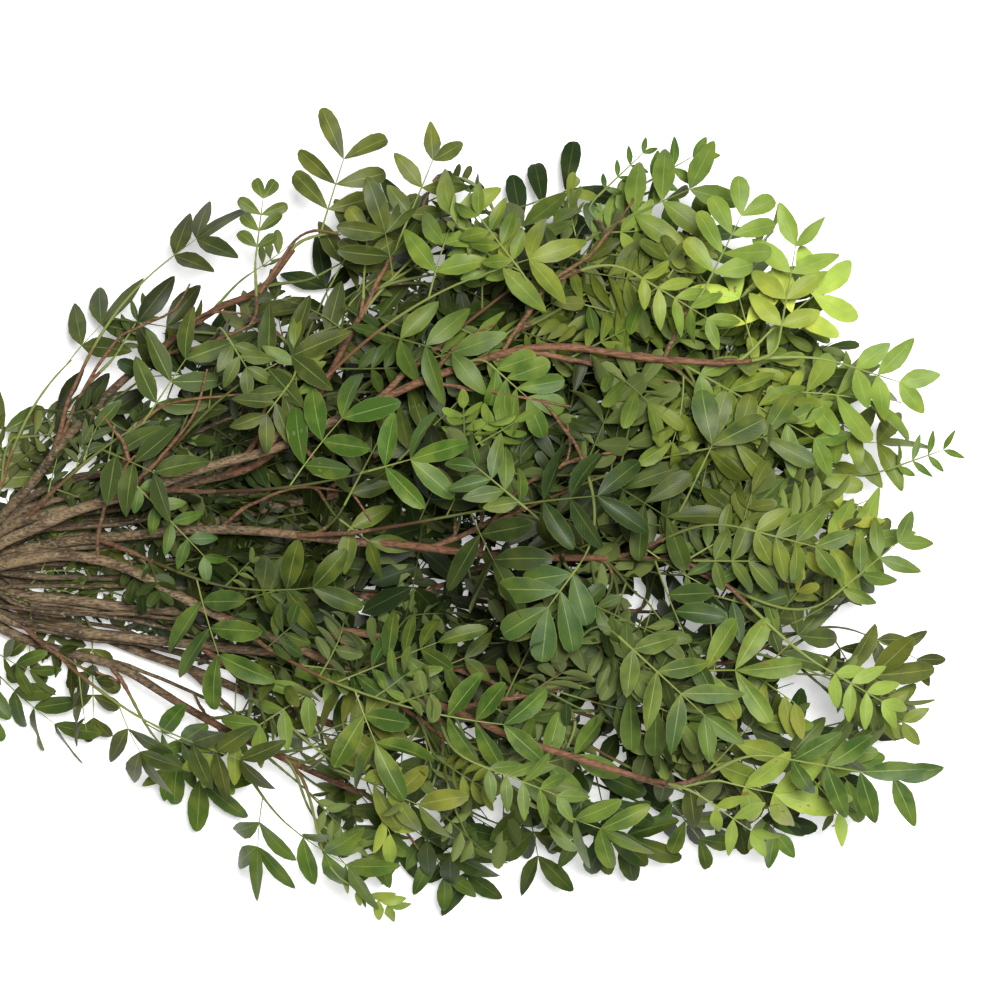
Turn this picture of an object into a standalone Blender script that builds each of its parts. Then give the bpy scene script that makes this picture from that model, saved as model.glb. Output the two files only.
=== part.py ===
# A bunch of cut pistacia branches, held by an elastic band and lying on a table.
# Metres, +Z up, +X from the cut ends to the crown. The origin is under the band, on the table.

import math
import random

import bpy
from mathutils import Matrix, Vector
from mathutils.bvhtree import BVHTree

MM = 0.001
UP = Vector((0, 0, 1))
TOUCH_GAP = 0.3 * MM

# Stems in the band: rows from the table up, each stem a hexagon that faces its neighbours
ROWS = (3, 4, 3, 2)
STEM_SIDES = 6
STEM_APOTHEM = 3.5 * MM
STEM_CORNER = STEM_APOTHEM / math.cos(math.pi / STEM_SIDES)
STEM_PITCH = 2 * STEM_APOTHEM + 0.4 * MM
STEM_TIP_RADIUS = 2.1 * MM
STEM_RINGS = 9
STEM_CROWDING = 1.4
STRAIGHT_END = 15 * MM

# Elastic band
BAND_SIDES = 16
BAND_THICKNESS = 2 * MM
BAND_WIDTH = 9 * MM

# Side twigs and green shoots. A twig leaves its stem partly along it and partly towards its tip
TWIG_SIDES = 5
TWIG_RADIUS = 1.9 * MM
TWIG_TO_STEM = 0.72
TWIG_WOOD_SHARE = 0.36
LEAVE_ALONG = 0.7
LEAVE_TOWARDS = 0.6
ARRIVE_BOW = 0.4
TWIG_RINGS = 3
SHOOT_SIDES = 4
SHOOT_RADIUS = 1.6 * MM
SHOOT_TIP_RADIUS = 1.1 * MM
SHOOT_RINGS = 4
LONG_SHOOT = 106 * MM

# Leaves: leaflets in pairs on a rib, cut out of one thin arched blade
BLADE_THICKNESS = 0.8 * MM
RIB_HALF_WIDTH = 0.9 * MM
PETIOLE = 15 * MM
PAIR_SPACING = 16 * MM
LEAFLET_LENGTH = 34 * MM
LEAFLET_WIDTH = 12.5 * MM
LEAFLET_ROOT = 2.6 * MM
LEAFLET_WIDEST = 0.5
END_LEAFLET_SIZE = 1.05
PAIR_ANGLE = math.radians(60)
LAST_PAIR_ANGLE = math.radians(38)
LEAF_REACH = 74 * MM
LEAF_ROOT_SINK = 5 * MM
SIDE_LEAF_ANGLE = math.radians(48)

# How leaves differ from each other: lowest and highest values of each random draw, angles in radians
LEAF_SIZES = (0.92, 1.06)
LEAFLET_SIZES = (0.88, 1.04)
LEAFLET_LIFTS = (-0.22, 0.14)
ANGLE_ERRORS = (-0.06, 0.06)
ARCHES = (0.25, 0.6)
ROLLS = (-0.35, 0.35)
SPRAY_SEED_STEP = 1000
BRANCH_SEED_STEP = 10

# Leaves face up and out of the crown, away from a line that rises along its middle
FACE_UP = 0.8
FACE_OUT = 0.45
CROWN_MIDDLE_SLOPE = 0.05
CROWN_MIDDLE_HEIGHT = 90 * MM

# Room that is kept between a leaf or shoot and what it would otherwise cross
SHOOT_CLEARANCE = 1.2 * MM
LEAF_CLEARANCE = 0.9 * MM
TABLE_CLEARANCE = 0.4 * MM
LAID_BELOW = 16 * MM
LAID_WEIGHT_FROM = 0.05
END_CLEAR_FROM = 4 * MM
TWIG_CLEAR_FROM = 14 * MM

# Ways to bow a twig aside, then ways to turn a leaf on its shoot, tried in this order
BOWS = ((0, 0), (0.3, 0), (-0.3, 0), (0, 0.3), (0, -0.3), (0.3, 0.3), (-0.3, 0.3), (0.3, -0.3),
        (-0.3, -0.3), (0.6, 0), (-0.6, 0), (0, 0.6), (0, -0.6), (0.6, 0.5), (-0.6, 0.5))
TURNS = tuple(math.radians(turn)
              for turn in (0, 22, -22, 44, -44, 66, -66, 90, -90, 120, -120, 150, 180))
TILTS = tuple(math.radians(tilt) for tilt in (0, 14, -14, 28))

BARK_COLOUR = (0.20, 0.13, 0.08, 1)
BAND_COLOUR = (0.42, 0.30, 0.18, 1)
LEAF_COLOURS = ((0.075, 0.16, 0.03, 1), (0.13, 0.22, 0.05, 1), (0.05, 0.12, 0.035, 1))

# Each branch: its row and place in the band, its cut end, the points that its main stem runs
# through past the band, and its leafy sprays. A spray gives the share of the stem where its twig
# leaves and the point that its furthest leaf reaches. Lengths in millimetres.
BRANCHES = (
    {"slot": (3, 0), "cut": -66,
     "route": ((62, 9, 50), (111, 12, 66), (168, -13, 86), (256, -49, 112), (361, -89, 140),
               (432, -111, 146)),
     "sprays": ((1.0, (535, -134, 150)), (0.72, (512, -48, 198)), (0.62, (440, -158, 134)),
                (0.42, (372, -84, 192)))},
    {"slot": (2, 0), "cut": -71,
     "route": ((62, -26, 32), (118, -34, 44), (213, -42, 62), (310, -50, 84), (450, -50, 100)),
     "sprays": ((1.0, (598, -57, 96)), (0.7, (566, -104, 112)), (0.36, (322, -134, 164)),
                (0.12, (226, -112, 122)))},
    {"slot": (1, 0), "cut": -62,
     "route": ((62, -36, 22), (118, -52, 32), (157, -72, 42), (209, -100, 54), (261, -121, 64)),
     "sprays": ((1.0, (352, -186, 66)), (0.66, (276, -178, 122)), (0.4, (204, -147, 40)),
                (0.02, (106, -108, 34)))},
    {"slot": (0, 0), "cut": -74,
     "route": ((70, -22, 12), (140, -47, 16), (230, -82, 22), (320, -104, 30), (380, -115, 34)),
     "sprays": ((1.0, (498, -158, 34)), (0.66, (412, -170, 14)), (0.4, (306, -166, 10)))},
    {"slot": (0, 1), "cut": -70,
     "route": ((80, -3, 12), (180, -7, 18), (300, -12, 26), (420, -20, 32)),
     "sprays": ((1.0, (588, 16, 44)), (0.68, (520, 52, 14)), (0.6, (506, -88, 12)),
                (0.3, (322, 50, 10)))},
    {"slot": (0, 2), "cut": -64,
     "route": ((80, 20, 14), (160, 57, 20), (260, 100, 26), (370, 136, 34)),
     "sprays": ((1.0, (462, 206, 30)), (0.7, (404, 244, 44)), (0.5, (330, 214, 14)),
                (0.26, (212, 164, 12)))},
    {"slot": (1, 1), "cut": -60,
     "route": ((80, -13, 26), (200, -24, 40), (330, -46, 55), (455, -95, 66)),
     "sprays": ((1.0, (566, -129, 62)), (0.64, (536, -152, 86)), (0.5, (456, -168, 66)))},
    {"slot": (1, 2), "cut": -72,
     "route": ((62, 5, 17), (100, 12, 25), (190, 36, 40), (320, 60, 56), (460, 75, 70)),
     "sprays": ((1.0, (604, 80, 84)), (0.66, (544, 162, 74)), (0.5, (494, 212, 92)),
                (0.42, (446, 150, 12)))},
    {"slot": (1, 3), "cut": -67,
     "route": ((62, 46, 32), (101, 90, 50), (142, 126, 64), (181, 153, 76), (206, 164, 82),
               (224, 186, 86)),
     "sprays": ((1.0, (328, 222, 96)), (0.12, (150, 172, 60)), (0.01, (68, 112, 36)),
                (0.34, (206, 222, 84)))},
    {"slot": (2, 1), "cut": -63,
     "route": ((62, 15, 33), (115, 24, 49), (181, 28, 70), (236, 24, 90), (340, 15, 124),
               (440, 12, 150)),
     "sprays": ((1.0, (586, 26, 138)), (0.68, (512, 82, 200)), (0.5, (420, 52, 226)),
                (0.22, (262, -8, 158)))},
    {"slot": (2, 2), "cut": -69,
     "route": ((62, 31, 42), (118, 46, 58), (169, 55, 72), (206, 66, 88), (232, 92, 100),
               (264, 146, 112)),
     "sprays": ((1.0, (352, 244, 118)), (0.6, (284, 234, 92)), (0.4, (262, 142, 162)),
                (0.2, (210, 118, 116)))},
    {"slot": (3, 1), "cut": -58,
     "route": ((40, 12, 42), (62, 23, 56), (130, 48, 86), (210, 72, 118), (290, 105, 150),
               (362, 127, 168), (426, 121, 178), (462, 118, 178)),
     "sprays": ((1.0, (550, 182, 184)), (0.78, (572, 106, 160)), (0.6, (472, 230, 146)),
                (0.46, (400, 186, 206)), (0.3, (336, 78, 212)))},
)


def clear_scene():
    for thing in list(bpy.data.objects):
        bpy.data.objects.remove(thing)


def principled(name, colour, roughness):
    material = bpy.data.materials.new(name)
    material.use_nodes = True
    shader = material.node_tree.nodes["Principled BSDF"]
    shader.inputs["Base Color"].default_value = colour
    shader.inputs["Roughness"].default_value = roughness
    shader.inputs["Metallic"].default_value = 0
    return material


class Route:
    """A smooth curve through points with headings, read by the share of its length."""

    STEPS = 16

    def __init__(self, points, headings):
        self.line = [points[0]]
        self.runs = [0]
        for i in range(len(points) - 1):
            length = (points[i + 1] - points[i]).length
            for step in range(1, self.STEPS + 1):
                u = step / self.STEPS
                place = (points[i] * (2 * u**3 - 3 * u**2 + 1)
                         + headings[i] * (length * (u**3 - 2 * u**2 + u))
                         + points[i + 1] * (3 * u**2 - 2 * u**3)
                         + headings[i + 1] * (length * (u**3 - u**2)))
                self.runs.append(self.runs[-1] + (place - self.line[-1]).length)
                self.line.append(place)
        self.length = self.runs[-1]

    def at(self, share):
        run = min(max(share, 0), 1) * self.length
        i = 1
        while self.runs[i] < run and i < len(self.runs) - 1:
            i += 1
        u = (run - self.runs[i - 1]) / (self.runs[i] - self.runs[i - 1])
        return self.line[i - 1].lerp(self.line[i], u)

    def heading(self, share):
        step = 0.02
        return (self.at(share + step) - self.at(share - step)).normalized()

    def rings(self, start, end, count, first_radius, last_radius, crowding=1):
        """Centres, headings and radii between two shares of the length, crowded to its start."""
        rings = []
        for i in range(count):
            part = (i / (count - 1)) ** crowding
            share = start + (end - start) * part
            radius = first_radius + (last_radius - first_radius) * part
            rings.append((self.at(share), self.heading(share), radius))
        return rings


def slot_centre(row, place):
    across = (place - (ROWS[row] - 1) / 2) * STEM_PITCH
    lowest = STEM_CORNER + TOUCH_GAP + BAND_THICKNESS
    return Vector((0, across, lowest + row * STEM_PITCH * math.sqrt(3) / 2))


def stem_route(branch):
    """The main stem past the band: it leaves along +X and passes through the route's points."""
    start = slot_centre(*branch["slot"]) + Vector((STRAIGHT_END, 0, 0))
    points = [start] + [Vector(point) * MM for point in branch["route"]]
    headings = [Vector((1, 0, 0))]
    for before, after in zip(points, points[2:]):
        headings.append((after - before).normalized())
    headings.append((points[-1] - points[-2]).normalized())
    return Route(points, headings)


def stem_radius(share):
    return STEM_CORNER + (STEM_TIP_RADIUS - STEM_CORNER) * share


def twig_route(stem, share, tip, bow):
    """The twig and shoot of one spray, from the stem's axis to where the last leaf begins."""
    start = stem.at(share)
    towards = (tip - start).normalized()
    side = towards.cross(UP).normalized()
    lift = side.cross(towards)
    bowed = side * bow[0] + lift * bow[1]
    leave = stem.heading(share)
    if share < 1:
        leave = (leave * LEAVE_ALONG + towards * LEAVE_TOWARDS + bowed).normalized()
    arrive = (towards - bowed * ARRIVE_BOW).normalized()
    end = tip - arrive * LEAF_REACH
    return Route([start, end], [leave, arrive])


def leaf_plan(draw):
    """One flat leaf: points as length along the rib, length across it and lift, and triangles."""
    pair_count, has_end_leaflet = draw.choice(((3, False), (2, True)))
    size = draw.uniform(*LEAF_SIZES)
    points = [(0, -RIB_HALF_WIDTH, 0), (0, RIB_HALF_WIDTH, 0)]
    triangles = []
    edge = (0, 1)
    for pair in range(pair_count):
        root = PETIOLE + pair * PAIR_SPACING * size
        for along in (root - LEAFLET_ROOT / 2, root + LEAFLET_ROOT / 2):
            new = (len(points), len(points) + 1)
            points += [(along, -RIB_HALF_WIDTH, 0), (along, RIB_HALF_WIDTH, 0)]
            triangles += [(edge[0], new[0], new[1]), (edge[0], new[1], edge[1])]
            rear = edge
            edge = new
        last = pair == pair_count - 1 and not has_end_leaflet
        angle = (LAST_PAIR_ANGLE if last else PAIR_ANGLE) + draw.uniform(*ANGLE_ERRORS)
        for hand, side in ((0, -1), (1, 1)):
            length = LEAFLET_LENGTH * size * draw.uniform(*LEAFLET_SIZES)
            lift = draw.uniform(*LEAFLET_LIFTS)
            half = LEAFLET_WIDTH * size / 2
            out = (math.cos(angle), math.sin(angle))
            shape = ((LEAFLET_WIDEST, half), (1, 0), (LEAFLET_WIDEST, -half))
            first = len(points)
            for reach, forward in shape:
                along = root + out[0] * length * reach + out[1] * forward
                across = RIB_HALF_WIDTH + out[1] * length * reach - out[0] * forward
                points.append((along, side * across, lift * across))
            front, tip, back = first, first + 1, first + 2
            fan = [(rear[hand], edge[hand], front), (rear[hand], front, back), (back, front, tip)]
            triangles += fan if side > 0 else [face[::-1] for face in fan]
    if has_end_leaflet:
        root = points[edge[0]][0]
        length = LEAFLET_LENGTH * size * END_LEAFLET_SIZE
        half = LEAFLET_WIDTH * size / 2
        first = len(points)
        points += [(root + length * LEAFLET_WIDEST, -half, 0), (root + length, 0, 0),
                   (root + length * LEAFLET_WIDEST, half, 0)]
        triangles += [(edge[0], first, first + 2), (edge[0], first + 2, edge[1]),
                      (first, first + 1, first + 2)]
    return points, triangles


def leaf_shell(plan, arch, start, heading, face, thickness):
    """The leaf's two faces and its edge wall, arched so that the tip bends down."""
    points, triangles = plan
    across = face.cross(heading)
    radius = LEAF_REACH / arch
    count = len(points)
    places = []
    for side in (0.5, -0.5):
        for along, aside, lift in points:
            swing = along / radius
            normal = face * math.cos(swing) + heading * math.sin(swing)
            ahead = radius * math.sin(swing)
            drop = radius * (1 - math.cos(swing))
            middle = start + heading * ahead - face * drop
            places.append(middle + across * aside + normal * (lift + side * thickness))
    faces = list(triangles)
    faces += [tuple(count + i for i in reversed(face_points)) for face_points in triangles]
    edges = {(tri[i], tri[(i + 1) % 3]) for tri in triangles for i in range(3)}
    for a, b in sorted(edges):
        if (b, a) not in edges:
            faces.append((count + a, count + b, b, a))
    return places, faces


def tube_shell(rings, sides):
    """A closed tube with flat ends, through rings that each have a centre, a heading and a radius."""
    places = []
    up = UP
    for centre, heading, radius in rings:
        up = (up - heading * up.dot(heading)).normalized()
        side = heading.cross(up)
        for corner in range(sides):
            turn = 2 * math.pi * corner / sides
            places.append(centre + (up * math.cos(turn) + side * math.sin(turn)) * radius)
    faces = []
    for ring in range(len(rings) - 1):
        for corner in range(sides):
            a = ring * sides + corner
            b = ring * sides + (corner + 1) % sides
            faces.append((a, b, b + sides, a + sides))
    last = (len(rings) - 1) * sides
    faces.append(tuple(reversed(range(sides))))
    faces.append(tuple(range(last, last + sides)))
    return places, faces


def tree_of(shell):
    return BVHTree.FromPolygons(*shell)


def crosses(shell, trees):
    own = tree_of(shell)
    return any(own.overlap(tree) for tree in trees)


def make_object(name, shell, material):
    mesh = bpy.data.meshes.new(name)
    mesh.from_pydata([tuple(place) for place in shell[0]], [], shell[1])
    mesh.materials.append(material)
    made = bpy.data.objects.new(name, mesh)
    bpy.context.scene.collection.objects.link(made)
    return made


def fuse(body, shells, material):
    """Joins the shells to the body with one Boolean union on a collection."""
    if not shells:
        return
    group = bpy.data.collections.new(body.name + "_parts")
    bpy.context.scene.collection.children.link(group)
    for number, shell in enumerate(shells):
        piece = make_object(f"{body.name}_part_{number}", shell, material)
        bpy.context.scene.collection.objects.unlink(piece)
        group.objects.link(piece)
    union = body.modifiers.new("Union", "BOOLEAN")
    union.operation = "UNION"
    union.solver = "EXACT"
    union.operand_type = "COLLECTION"
    union.collection = group
    bpy.context.view_layer.objects.active = body
    bpy.ops.object.modifier_apply(modifier=union.name)
    for piece in list(group.objects):
        bpy.data.objects.remove(piece)
    bpy.data.collections.remove(group)


def leaf_settings(route, first_share, spray_number, leaf_number, leaf_count):
    """Where one leaf stands on its shoot, and its plan and arch. Leaf 0 ends the shoot."""
    draw = random.Random(SPRAY_SEED_STEP * spray_number + leaf_number)
    plan = leaf_plan(draw)
    arch = draw.uniform(*ARCHES)
    roll = draw.uniform(*ROLLS)
    if leaf_number == 0:
        share = 1
        start = route.at(1) - route.heading(1) * LEAF_ROOT_SINK
    else:
        share = first_share + (1 - first_share) * leaf_number / leaf_count
        start = route.at(share)
    hand = 1 if (spray_number + leaf_number) % 2 else -1
    return plan, arch, roll, share, start, hand


def leaf_turns(route, settings, outward):
    """The ways to set a leaf, the natural one first: its start, heading and upper face."""
    plan, arch, roll, share, start, hand = settings
    along = route.heading(share)
    face = UP * FACE_UP + outward * FACE_OUT
    face = (face - along * face.dot(along)).normalized()
    face = Matrix.Rotation(roll, 3, along) @ face
    for turn in TURNS:
        for tilt in TILTS:
            turned = Matrix.Rotation(turn, 3, along) @ face
            lean = tilt if share == 1 else hand * (SIDE_LEAF_ANGLE + tilt)
            heading = Matrix.Rotation(lean, 3, turned) @ along
            yield leaf_shell_at(plan, arch, start, heading, turned)


def leaf_shell_at(plan, arch, start, heading, face):
    def shell(extra):
        return leaf_shell(plan, arch, start, heading, face, BLADE_THICKNESS + 2 * extra)
    return shell


def crown_outward(place):
    """Away from the line that the crown fans round."""
    middle = Vector((place.x, CROWN_MIDDLE_SLOPE * place.x, CROWN_MIDDLE_HEIGHT))
    return (place - middle).normalized()


def build_band(material):
    """The band's loop runs round the outer stems and has a flat underside on the table."""
    centres = [slot_centre(row, place) for row, count in enumerate(ROWS) for place in range(count)]
    corner = math.cos(math.pi / BAND_SIDES)
    inner = (STEM_CORNER + TOUCH_GAP) / corner
    outer = (STEM_CORNER + TOUCH_GAP + BAND_THICKNESS) / corner
    loops = []
    for radius in (inner, outer):
        for x in (-BAND_WIDTH / 2, BAND_WIDTH / 2):
            loop = []
            for i in range(BAND_SIDES):
                turn = 2 * math.pi * (i + 0.5) / BAND_SIDES
                way = Vector((0, math.cos(turn), math.sin(turn)))
                furthest = max(centres, key=way.dot)
                loop.append(furthest + way * radius + Vector((x, 0, 0)))
            loops.append(loop)
    places = [place for loop in loops for place in loop]
    inner_left, inner_right, outer_left, outer_right = (i * BAND_SIDES for i in range(4))
    faces = []
    for i in range(BAND_SIDES):
        j = (i + 1) % BAND_SIDES
        faces.append((outer_left + i, outer_right + i, outer_right + j, outer_left + j)[::-1])
        faces.append((inner_left + i, inner_left + j, inner_right + j, inner_right + i)[::-1])
        faces.append((outer_left + i, outer_left + j, inner_left + j, inner_left + i)[::-1])
        faces.append((outer_right + i, inner_right + i, inner_right + j, outer_right + j)[::-1])
    return make_object("band", (places, faces), material)


def stem_shell(branch, route):
    cut = slot_centre(*branch["slot"]) + Vector((branch["cut"] * MM, 0, 0))
    rings = route.rings(0, 1, STEM_RINGS, STEM_CORNER, STEM_TIP_RADIUS, STEM_CROWDING)
    return tube_shell([(cut, Vector((1, 0, 0)), STEM_CORNER)] + rings, STEM_SIDES)


def shoot_start(share):
    """The share of the route where green growth takes over from wood."""
    return 0 if share == 1 else TWIG_WOOD_SHARE


def twig_base_radius(share):
    return min(TWIG_RADIUS, TWIG_TO_STEM * stem_radius(share))


def twig_shell(route, share):
    rings = route.rings(0, TWIG_WOOD_SHARE, TWIG_RINGS, twig_base_radius(share), SHOOT_RADIUS)
    return tube_shell(rings, TWIG_SIDES)


def shoot_shell(route, share):
    start = shoot_start(share) + TOUCH_GAP / route.length
    return tube_shell(route.rings(start, 1, SHOOT_RINGS, SHOOT_RADIUS, SHOOT_TIP_RADIUS), SHOOT_SIDES)


def room_shell(route, share):
    """The twig and shoot with clearance, past where they leave their own stem."""
    start = (END_CLEAR_FROM if share == 1 else TWIG_CLEAR_FROM) / route.length
    radius = TWIG_RADIUS + SHOOT_CLEARANCE
    return tube_shell(route.rings(start, 1, TWIG_RINGS + SHOOT_RINGS, radius, radius), SHOOT_SIDES)


def lowest(shell):
    return min(place.z for place in shell[0])


def is_free(room, trees):
    return lowest(room) > TABLE_CLEARANCE and not crosses(room, trees)


def choose_route(stem, share, tip, trees):
    """The twig's least bowed way that crosses nothing."""
    ways = (twig_route(stem, share, tip, bow) for bow in BOWS)
    return next(way for way in ways if is_free(room_shell(way, share), trees))


def choose_leaves(route, first_share, spray_number, leaf_count, trees):
    """Sets each leaf of a spray in the first way that crosses nothing."""
    leaves = []
    taken = []
    outward = crown_outward(route.at(1))
    for leaf_number in range(leaf_count):
        settings = leaf_settings(route, first_share, spray_number, leaf_number, leaf_count)
        for shell_with in leaf_turns(route, settings, outward):
            if is_free(shell_with(LEAF_CLEARANCE), trees + taken):
                leaves.append(shell_with(0))
                taken.append(tree_of(shell_with(0)))
                break
    return leaves


def lay_on_table(body, start):
    """Bends a low spray down, more the further it is from its start, until it touches the table."""
    places = body.data.vertices
    reach = max((place.co - start).length for place in places)
    weights = [((place.co - start).length / reach) ** 2 for place in places]
    drop = min(place.co.z / weight
               for place, weight in zip(places, weights) if weight > LAID_WEIGHT_FROM)
    for place, weight in zip(places, weights):
        place.co.z -= drop * weight


def build():
    clear_scene()
    bark = principled("bark", BARK_COLOUR, 0.8)
    greens = [principled(f"leaf_{i + 1}", colour, 0.45) for i, colour in enumerate(LEAF_COLOURS)]
    build_band(principled("band", BAND_COLOUR, 0.6))

    stems = [stem_route(branch) for branch in BRANCHES]
    stem_shells = [stem_shell(branch, stem) for branch, stem in zip(BRANCHES, stems)]
    trees = [tree_of(shell) for shell in stem_shells]
    sprays = []
    for number, branch in enumerate(BRANCHES):
        for place, (share, tip) in enumerate(branch["sprays"]):
            sprays.append((number, place, share, Vector(tip) * MM))
    sprays.sort(key=lambda spray: spray[3].z)

    twigs = {number: [] for number in range(len(BRANCHES))}
    routes = {}
    rooms = {}
    for number, place, share, tip in sprays:
        route = choose_route(stems[number], share, tip, trees + list(rooms.values()))
        routes[number, place] = route
        rooms[number, place] = tree_of(room_shell(route, share))
        if share < 1:
            twigs[number].append(twig_shell(route, share))

    for number, place, share, tip in sprays:
        route = routes[number, place]
        first_share = shoot_start(share)
        leaf_count = 3 if route.length * (1 - first_share) > LONG_SHOOT else 2
        others = [room for key, room in rooms.items() if key != (number, place)]
        seed = BRANCH_SEED_STEP * number + place
        leaves = choose_leaves(route, first_share, seed, leaf_count, trees + others)
        name = f"branch_{number + 1:02d}_spray_{place + 1}"
        green = greens[(number + place) % len(greens)]
        body = make_object(name, shoot_shell(route, share), green)
        fuse(body, leaves, green)
        if tip.z < LAID_BELOW:
            lay_on_table(body, route.at(first_share))
        places = [vertex.co for vertex in body.data.vertices]
        trees.append(tree_of((places, [tuple(face.vertices) for face in body.data.polygons])))

    for number, shell in enumerate(stem_shells):
        body = make_object(f"branch_{number + 1:02d}_wood", shell, bark)
        fuse(body, twigs[number], bark)


build()
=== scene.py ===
import math
import random

import bmesh
import bpy
import numpy as np
from mathutils import Matrix, Vector, noise
from mathutils.bvhtree import BVHTree


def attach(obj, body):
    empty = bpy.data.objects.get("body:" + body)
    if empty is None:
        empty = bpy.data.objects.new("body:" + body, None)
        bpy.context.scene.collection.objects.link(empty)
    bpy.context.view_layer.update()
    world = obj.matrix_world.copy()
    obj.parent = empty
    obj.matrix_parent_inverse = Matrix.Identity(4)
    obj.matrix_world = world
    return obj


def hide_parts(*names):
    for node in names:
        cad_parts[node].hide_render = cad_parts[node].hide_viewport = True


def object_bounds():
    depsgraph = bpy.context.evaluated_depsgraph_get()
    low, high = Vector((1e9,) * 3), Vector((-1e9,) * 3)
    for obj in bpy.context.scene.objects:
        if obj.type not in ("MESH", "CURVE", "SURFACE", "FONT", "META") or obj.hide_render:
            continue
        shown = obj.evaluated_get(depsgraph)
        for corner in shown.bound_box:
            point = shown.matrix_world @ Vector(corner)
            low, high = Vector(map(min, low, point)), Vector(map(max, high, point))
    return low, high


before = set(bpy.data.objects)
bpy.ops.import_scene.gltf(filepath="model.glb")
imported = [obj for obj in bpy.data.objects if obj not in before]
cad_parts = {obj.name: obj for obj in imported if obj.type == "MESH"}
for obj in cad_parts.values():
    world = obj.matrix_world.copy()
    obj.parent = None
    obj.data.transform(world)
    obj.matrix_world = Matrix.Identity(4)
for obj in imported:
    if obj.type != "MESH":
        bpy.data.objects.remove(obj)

cad_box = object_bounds()

# Woody stems
# Twelve cut branches, ridged brown bark over pale wood, swollen at their old leaf scars.
# They run side by side under the band and fan out past it; each was cut square with secateurs.
MM = 0.001
UP = Vector((0, 0, 1))
ROWS = (3, 4, 3, 2)
TOUCH_GAP = 0.3 * MM
BAND_THICKNESS = 2 * MM
STEM_RADIUS = 3.5 * MM
STEM_TIP_RADIUS = 1.7 * MM
STEM_CORNER = STEM_RADIUS / math.cos(math.pi / 6)
STEM_PITCH = 7.4 * MM
LOWEST_STEM = STEM_CORNER + TOUCH_GAP + BAND_THICKNESS
STRAIGHT_END = 15 * MM
STEM_SIDES = 12
STEM_CUTS = 84
STEM_STEPS = 120
# The wood wanders by a seeded noise, so that it bends the same way each time
noise.seed_set(3)

# Each stem: its row and place in the band, its cut end, and the points it runs through, in mm
STEMS = (
    ((3, 0), -66, ((62, 9, 50), (111, 12, 66), (168, -13, 86), (256, -49, 112), (361, -89, 140),
        (432, -111, 146))),
    ((2, 0), -71, ((62, -26, 32), (118, -34, 44), (213, -42, 62), (310, -50, 84), (450, -50, 100))),
    ((1, 0), -62, ((62, -36, 22), (118, -52, 32), (157, -72, 42), (209, -100, 54), (261, -121, 64))),
    ((0, 0), -74, ((70, -22, 12), (140, -47, 16), (230, -82, 22), (320, -104, 30), (380, -115, 34))),
    ((0, 1), -70, ((80, -3, 12), (180, -7, 18), (300, -12, 26), (420, -20, 32))),
    ((0, 2), -64, ((80, 20, 14), (160, 57, 20), (260, 100, 26), (370, 136, 34))),
    ((1, 1), -60, ((80, -13, 26), (200, -24, 40), (330, -46, 55), (455, -95, 66))),
    ((1, 2), -72, ((62, 5, 17), (100, 12, 25), (190, 36, 40), (320, 60, 56), (460, 75, 70))),
    ((1, 3), -67, ((62, 46, 32), (101, 90, 50), (142, 126, 64), (181, 153, 76), (206, 164, 82),
        (224, 186, 86))),
    ((2, 1), -63, ((62, 15, 33), (115, 24, 49), (181, 28, 70), (236, 24, 90), (340, 15, 124),
        (440, 12, 150))),
    ((2, 2), -69, ((62, 31, 42), (118, 46, 58), (169, 55, 72), (206, 66, 88), (232, 92, 100),
        (264, 146, 112))),
    ((3, 1), -58, ((40, 12, 42), (62, 23, 56), (130, 48, 86), (210, 72, 118), (290, 105, 150),
        (362, 127, 168), (426, 121, 178), (462, 118, 178))),
)


class Route:
    """A smooth curve through points with headings, read by the share of its length."""

    STEPS = 16

    def __init__(self, points, headings):
        self.line = [points[0]]
        self.runs = [0]
        for i in range(len(points) - 1):
            length = (points[i + 1] - points[i]).length
            for step in range(1, self.STEPS + 1):
                u = step / self.STEPS
                place = (points[i] * (2 * u**3 - 3 * u**2 + 1)
                         + headings[i] * (length * (u**3 - 2 * u**2 + u))
                         + points[i + 1] * (3 * u**2 - 2 * u**3)
                         + headings[i + 1] * (length * (u**3 - u**2)))
                self.runs.append(self.runs[-1] + (place - self.line[-1]).length)
                self.line.append(place)
        self.length = self.runs[-1]

    def at(self, share):
        run = min(max(share, 0), 1) * self.length
        i = 1
        while self.runs[i] < run and i < len(self.runs) - 1:
            i += 1
        u = (run - self.runs[i - 1]) / (self.runs[i] - self.runs[i - 1])
        return self.line[i - 1].lerp(self.line[i], u)

    def heading(self, share):
        step = 0.02
        return (self.at(share + step) - self.at(share - step)).normalized()


def clamp(value):
    return min(max(value, 0), 1)


def slot_centre(row, place):
    across = (place - (ROWS[row] - 1) / 2) * STEM_PITCH
    return Vector((0, across, LOWEST_STEM + row * STEM_PITCH * math.sqrt(3) / 2))


def through(points):
    """Headings for the points of a route, each one along the line between its neighbours."""
    headings = [(after - before).normalized() for before, after in zip(points, points[2:])]
    return [(points[1] - points[0]).normalized()] + headings + [(points[-1] - points[-2]).normalized()]


def stem_route(slot, points):
    start = slot_centre(*slot) + Vector((STRAIGHT_END, 0, 0))
    points = [start] + [Vector(point) * MM for point in points]
    return Route(points, [Vector((1, 0, 0))] + through(points)[1:])


def squared(face, heading):
    """The face, turned square to the heading."""
    return (face - heading * face.dot(heading)).normalized()


def frames_along(centres):
    """For each centre: its place and two directions square to the line, turned as little as can be."""
    ups, sides = [], []
    up = UP
    for i in range(len(centres)):
        before = centres[max(i - 1, 0)]
        after = centres[min(i + 1, len(centres) - 1)]
        heading = (after - before).normalized()
        up = squared(up, heading)
        ups.append(up)
        sides.append(heading.cross(up))
    return np.array(centres), np.array(ups), np.array(sides)


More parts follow.
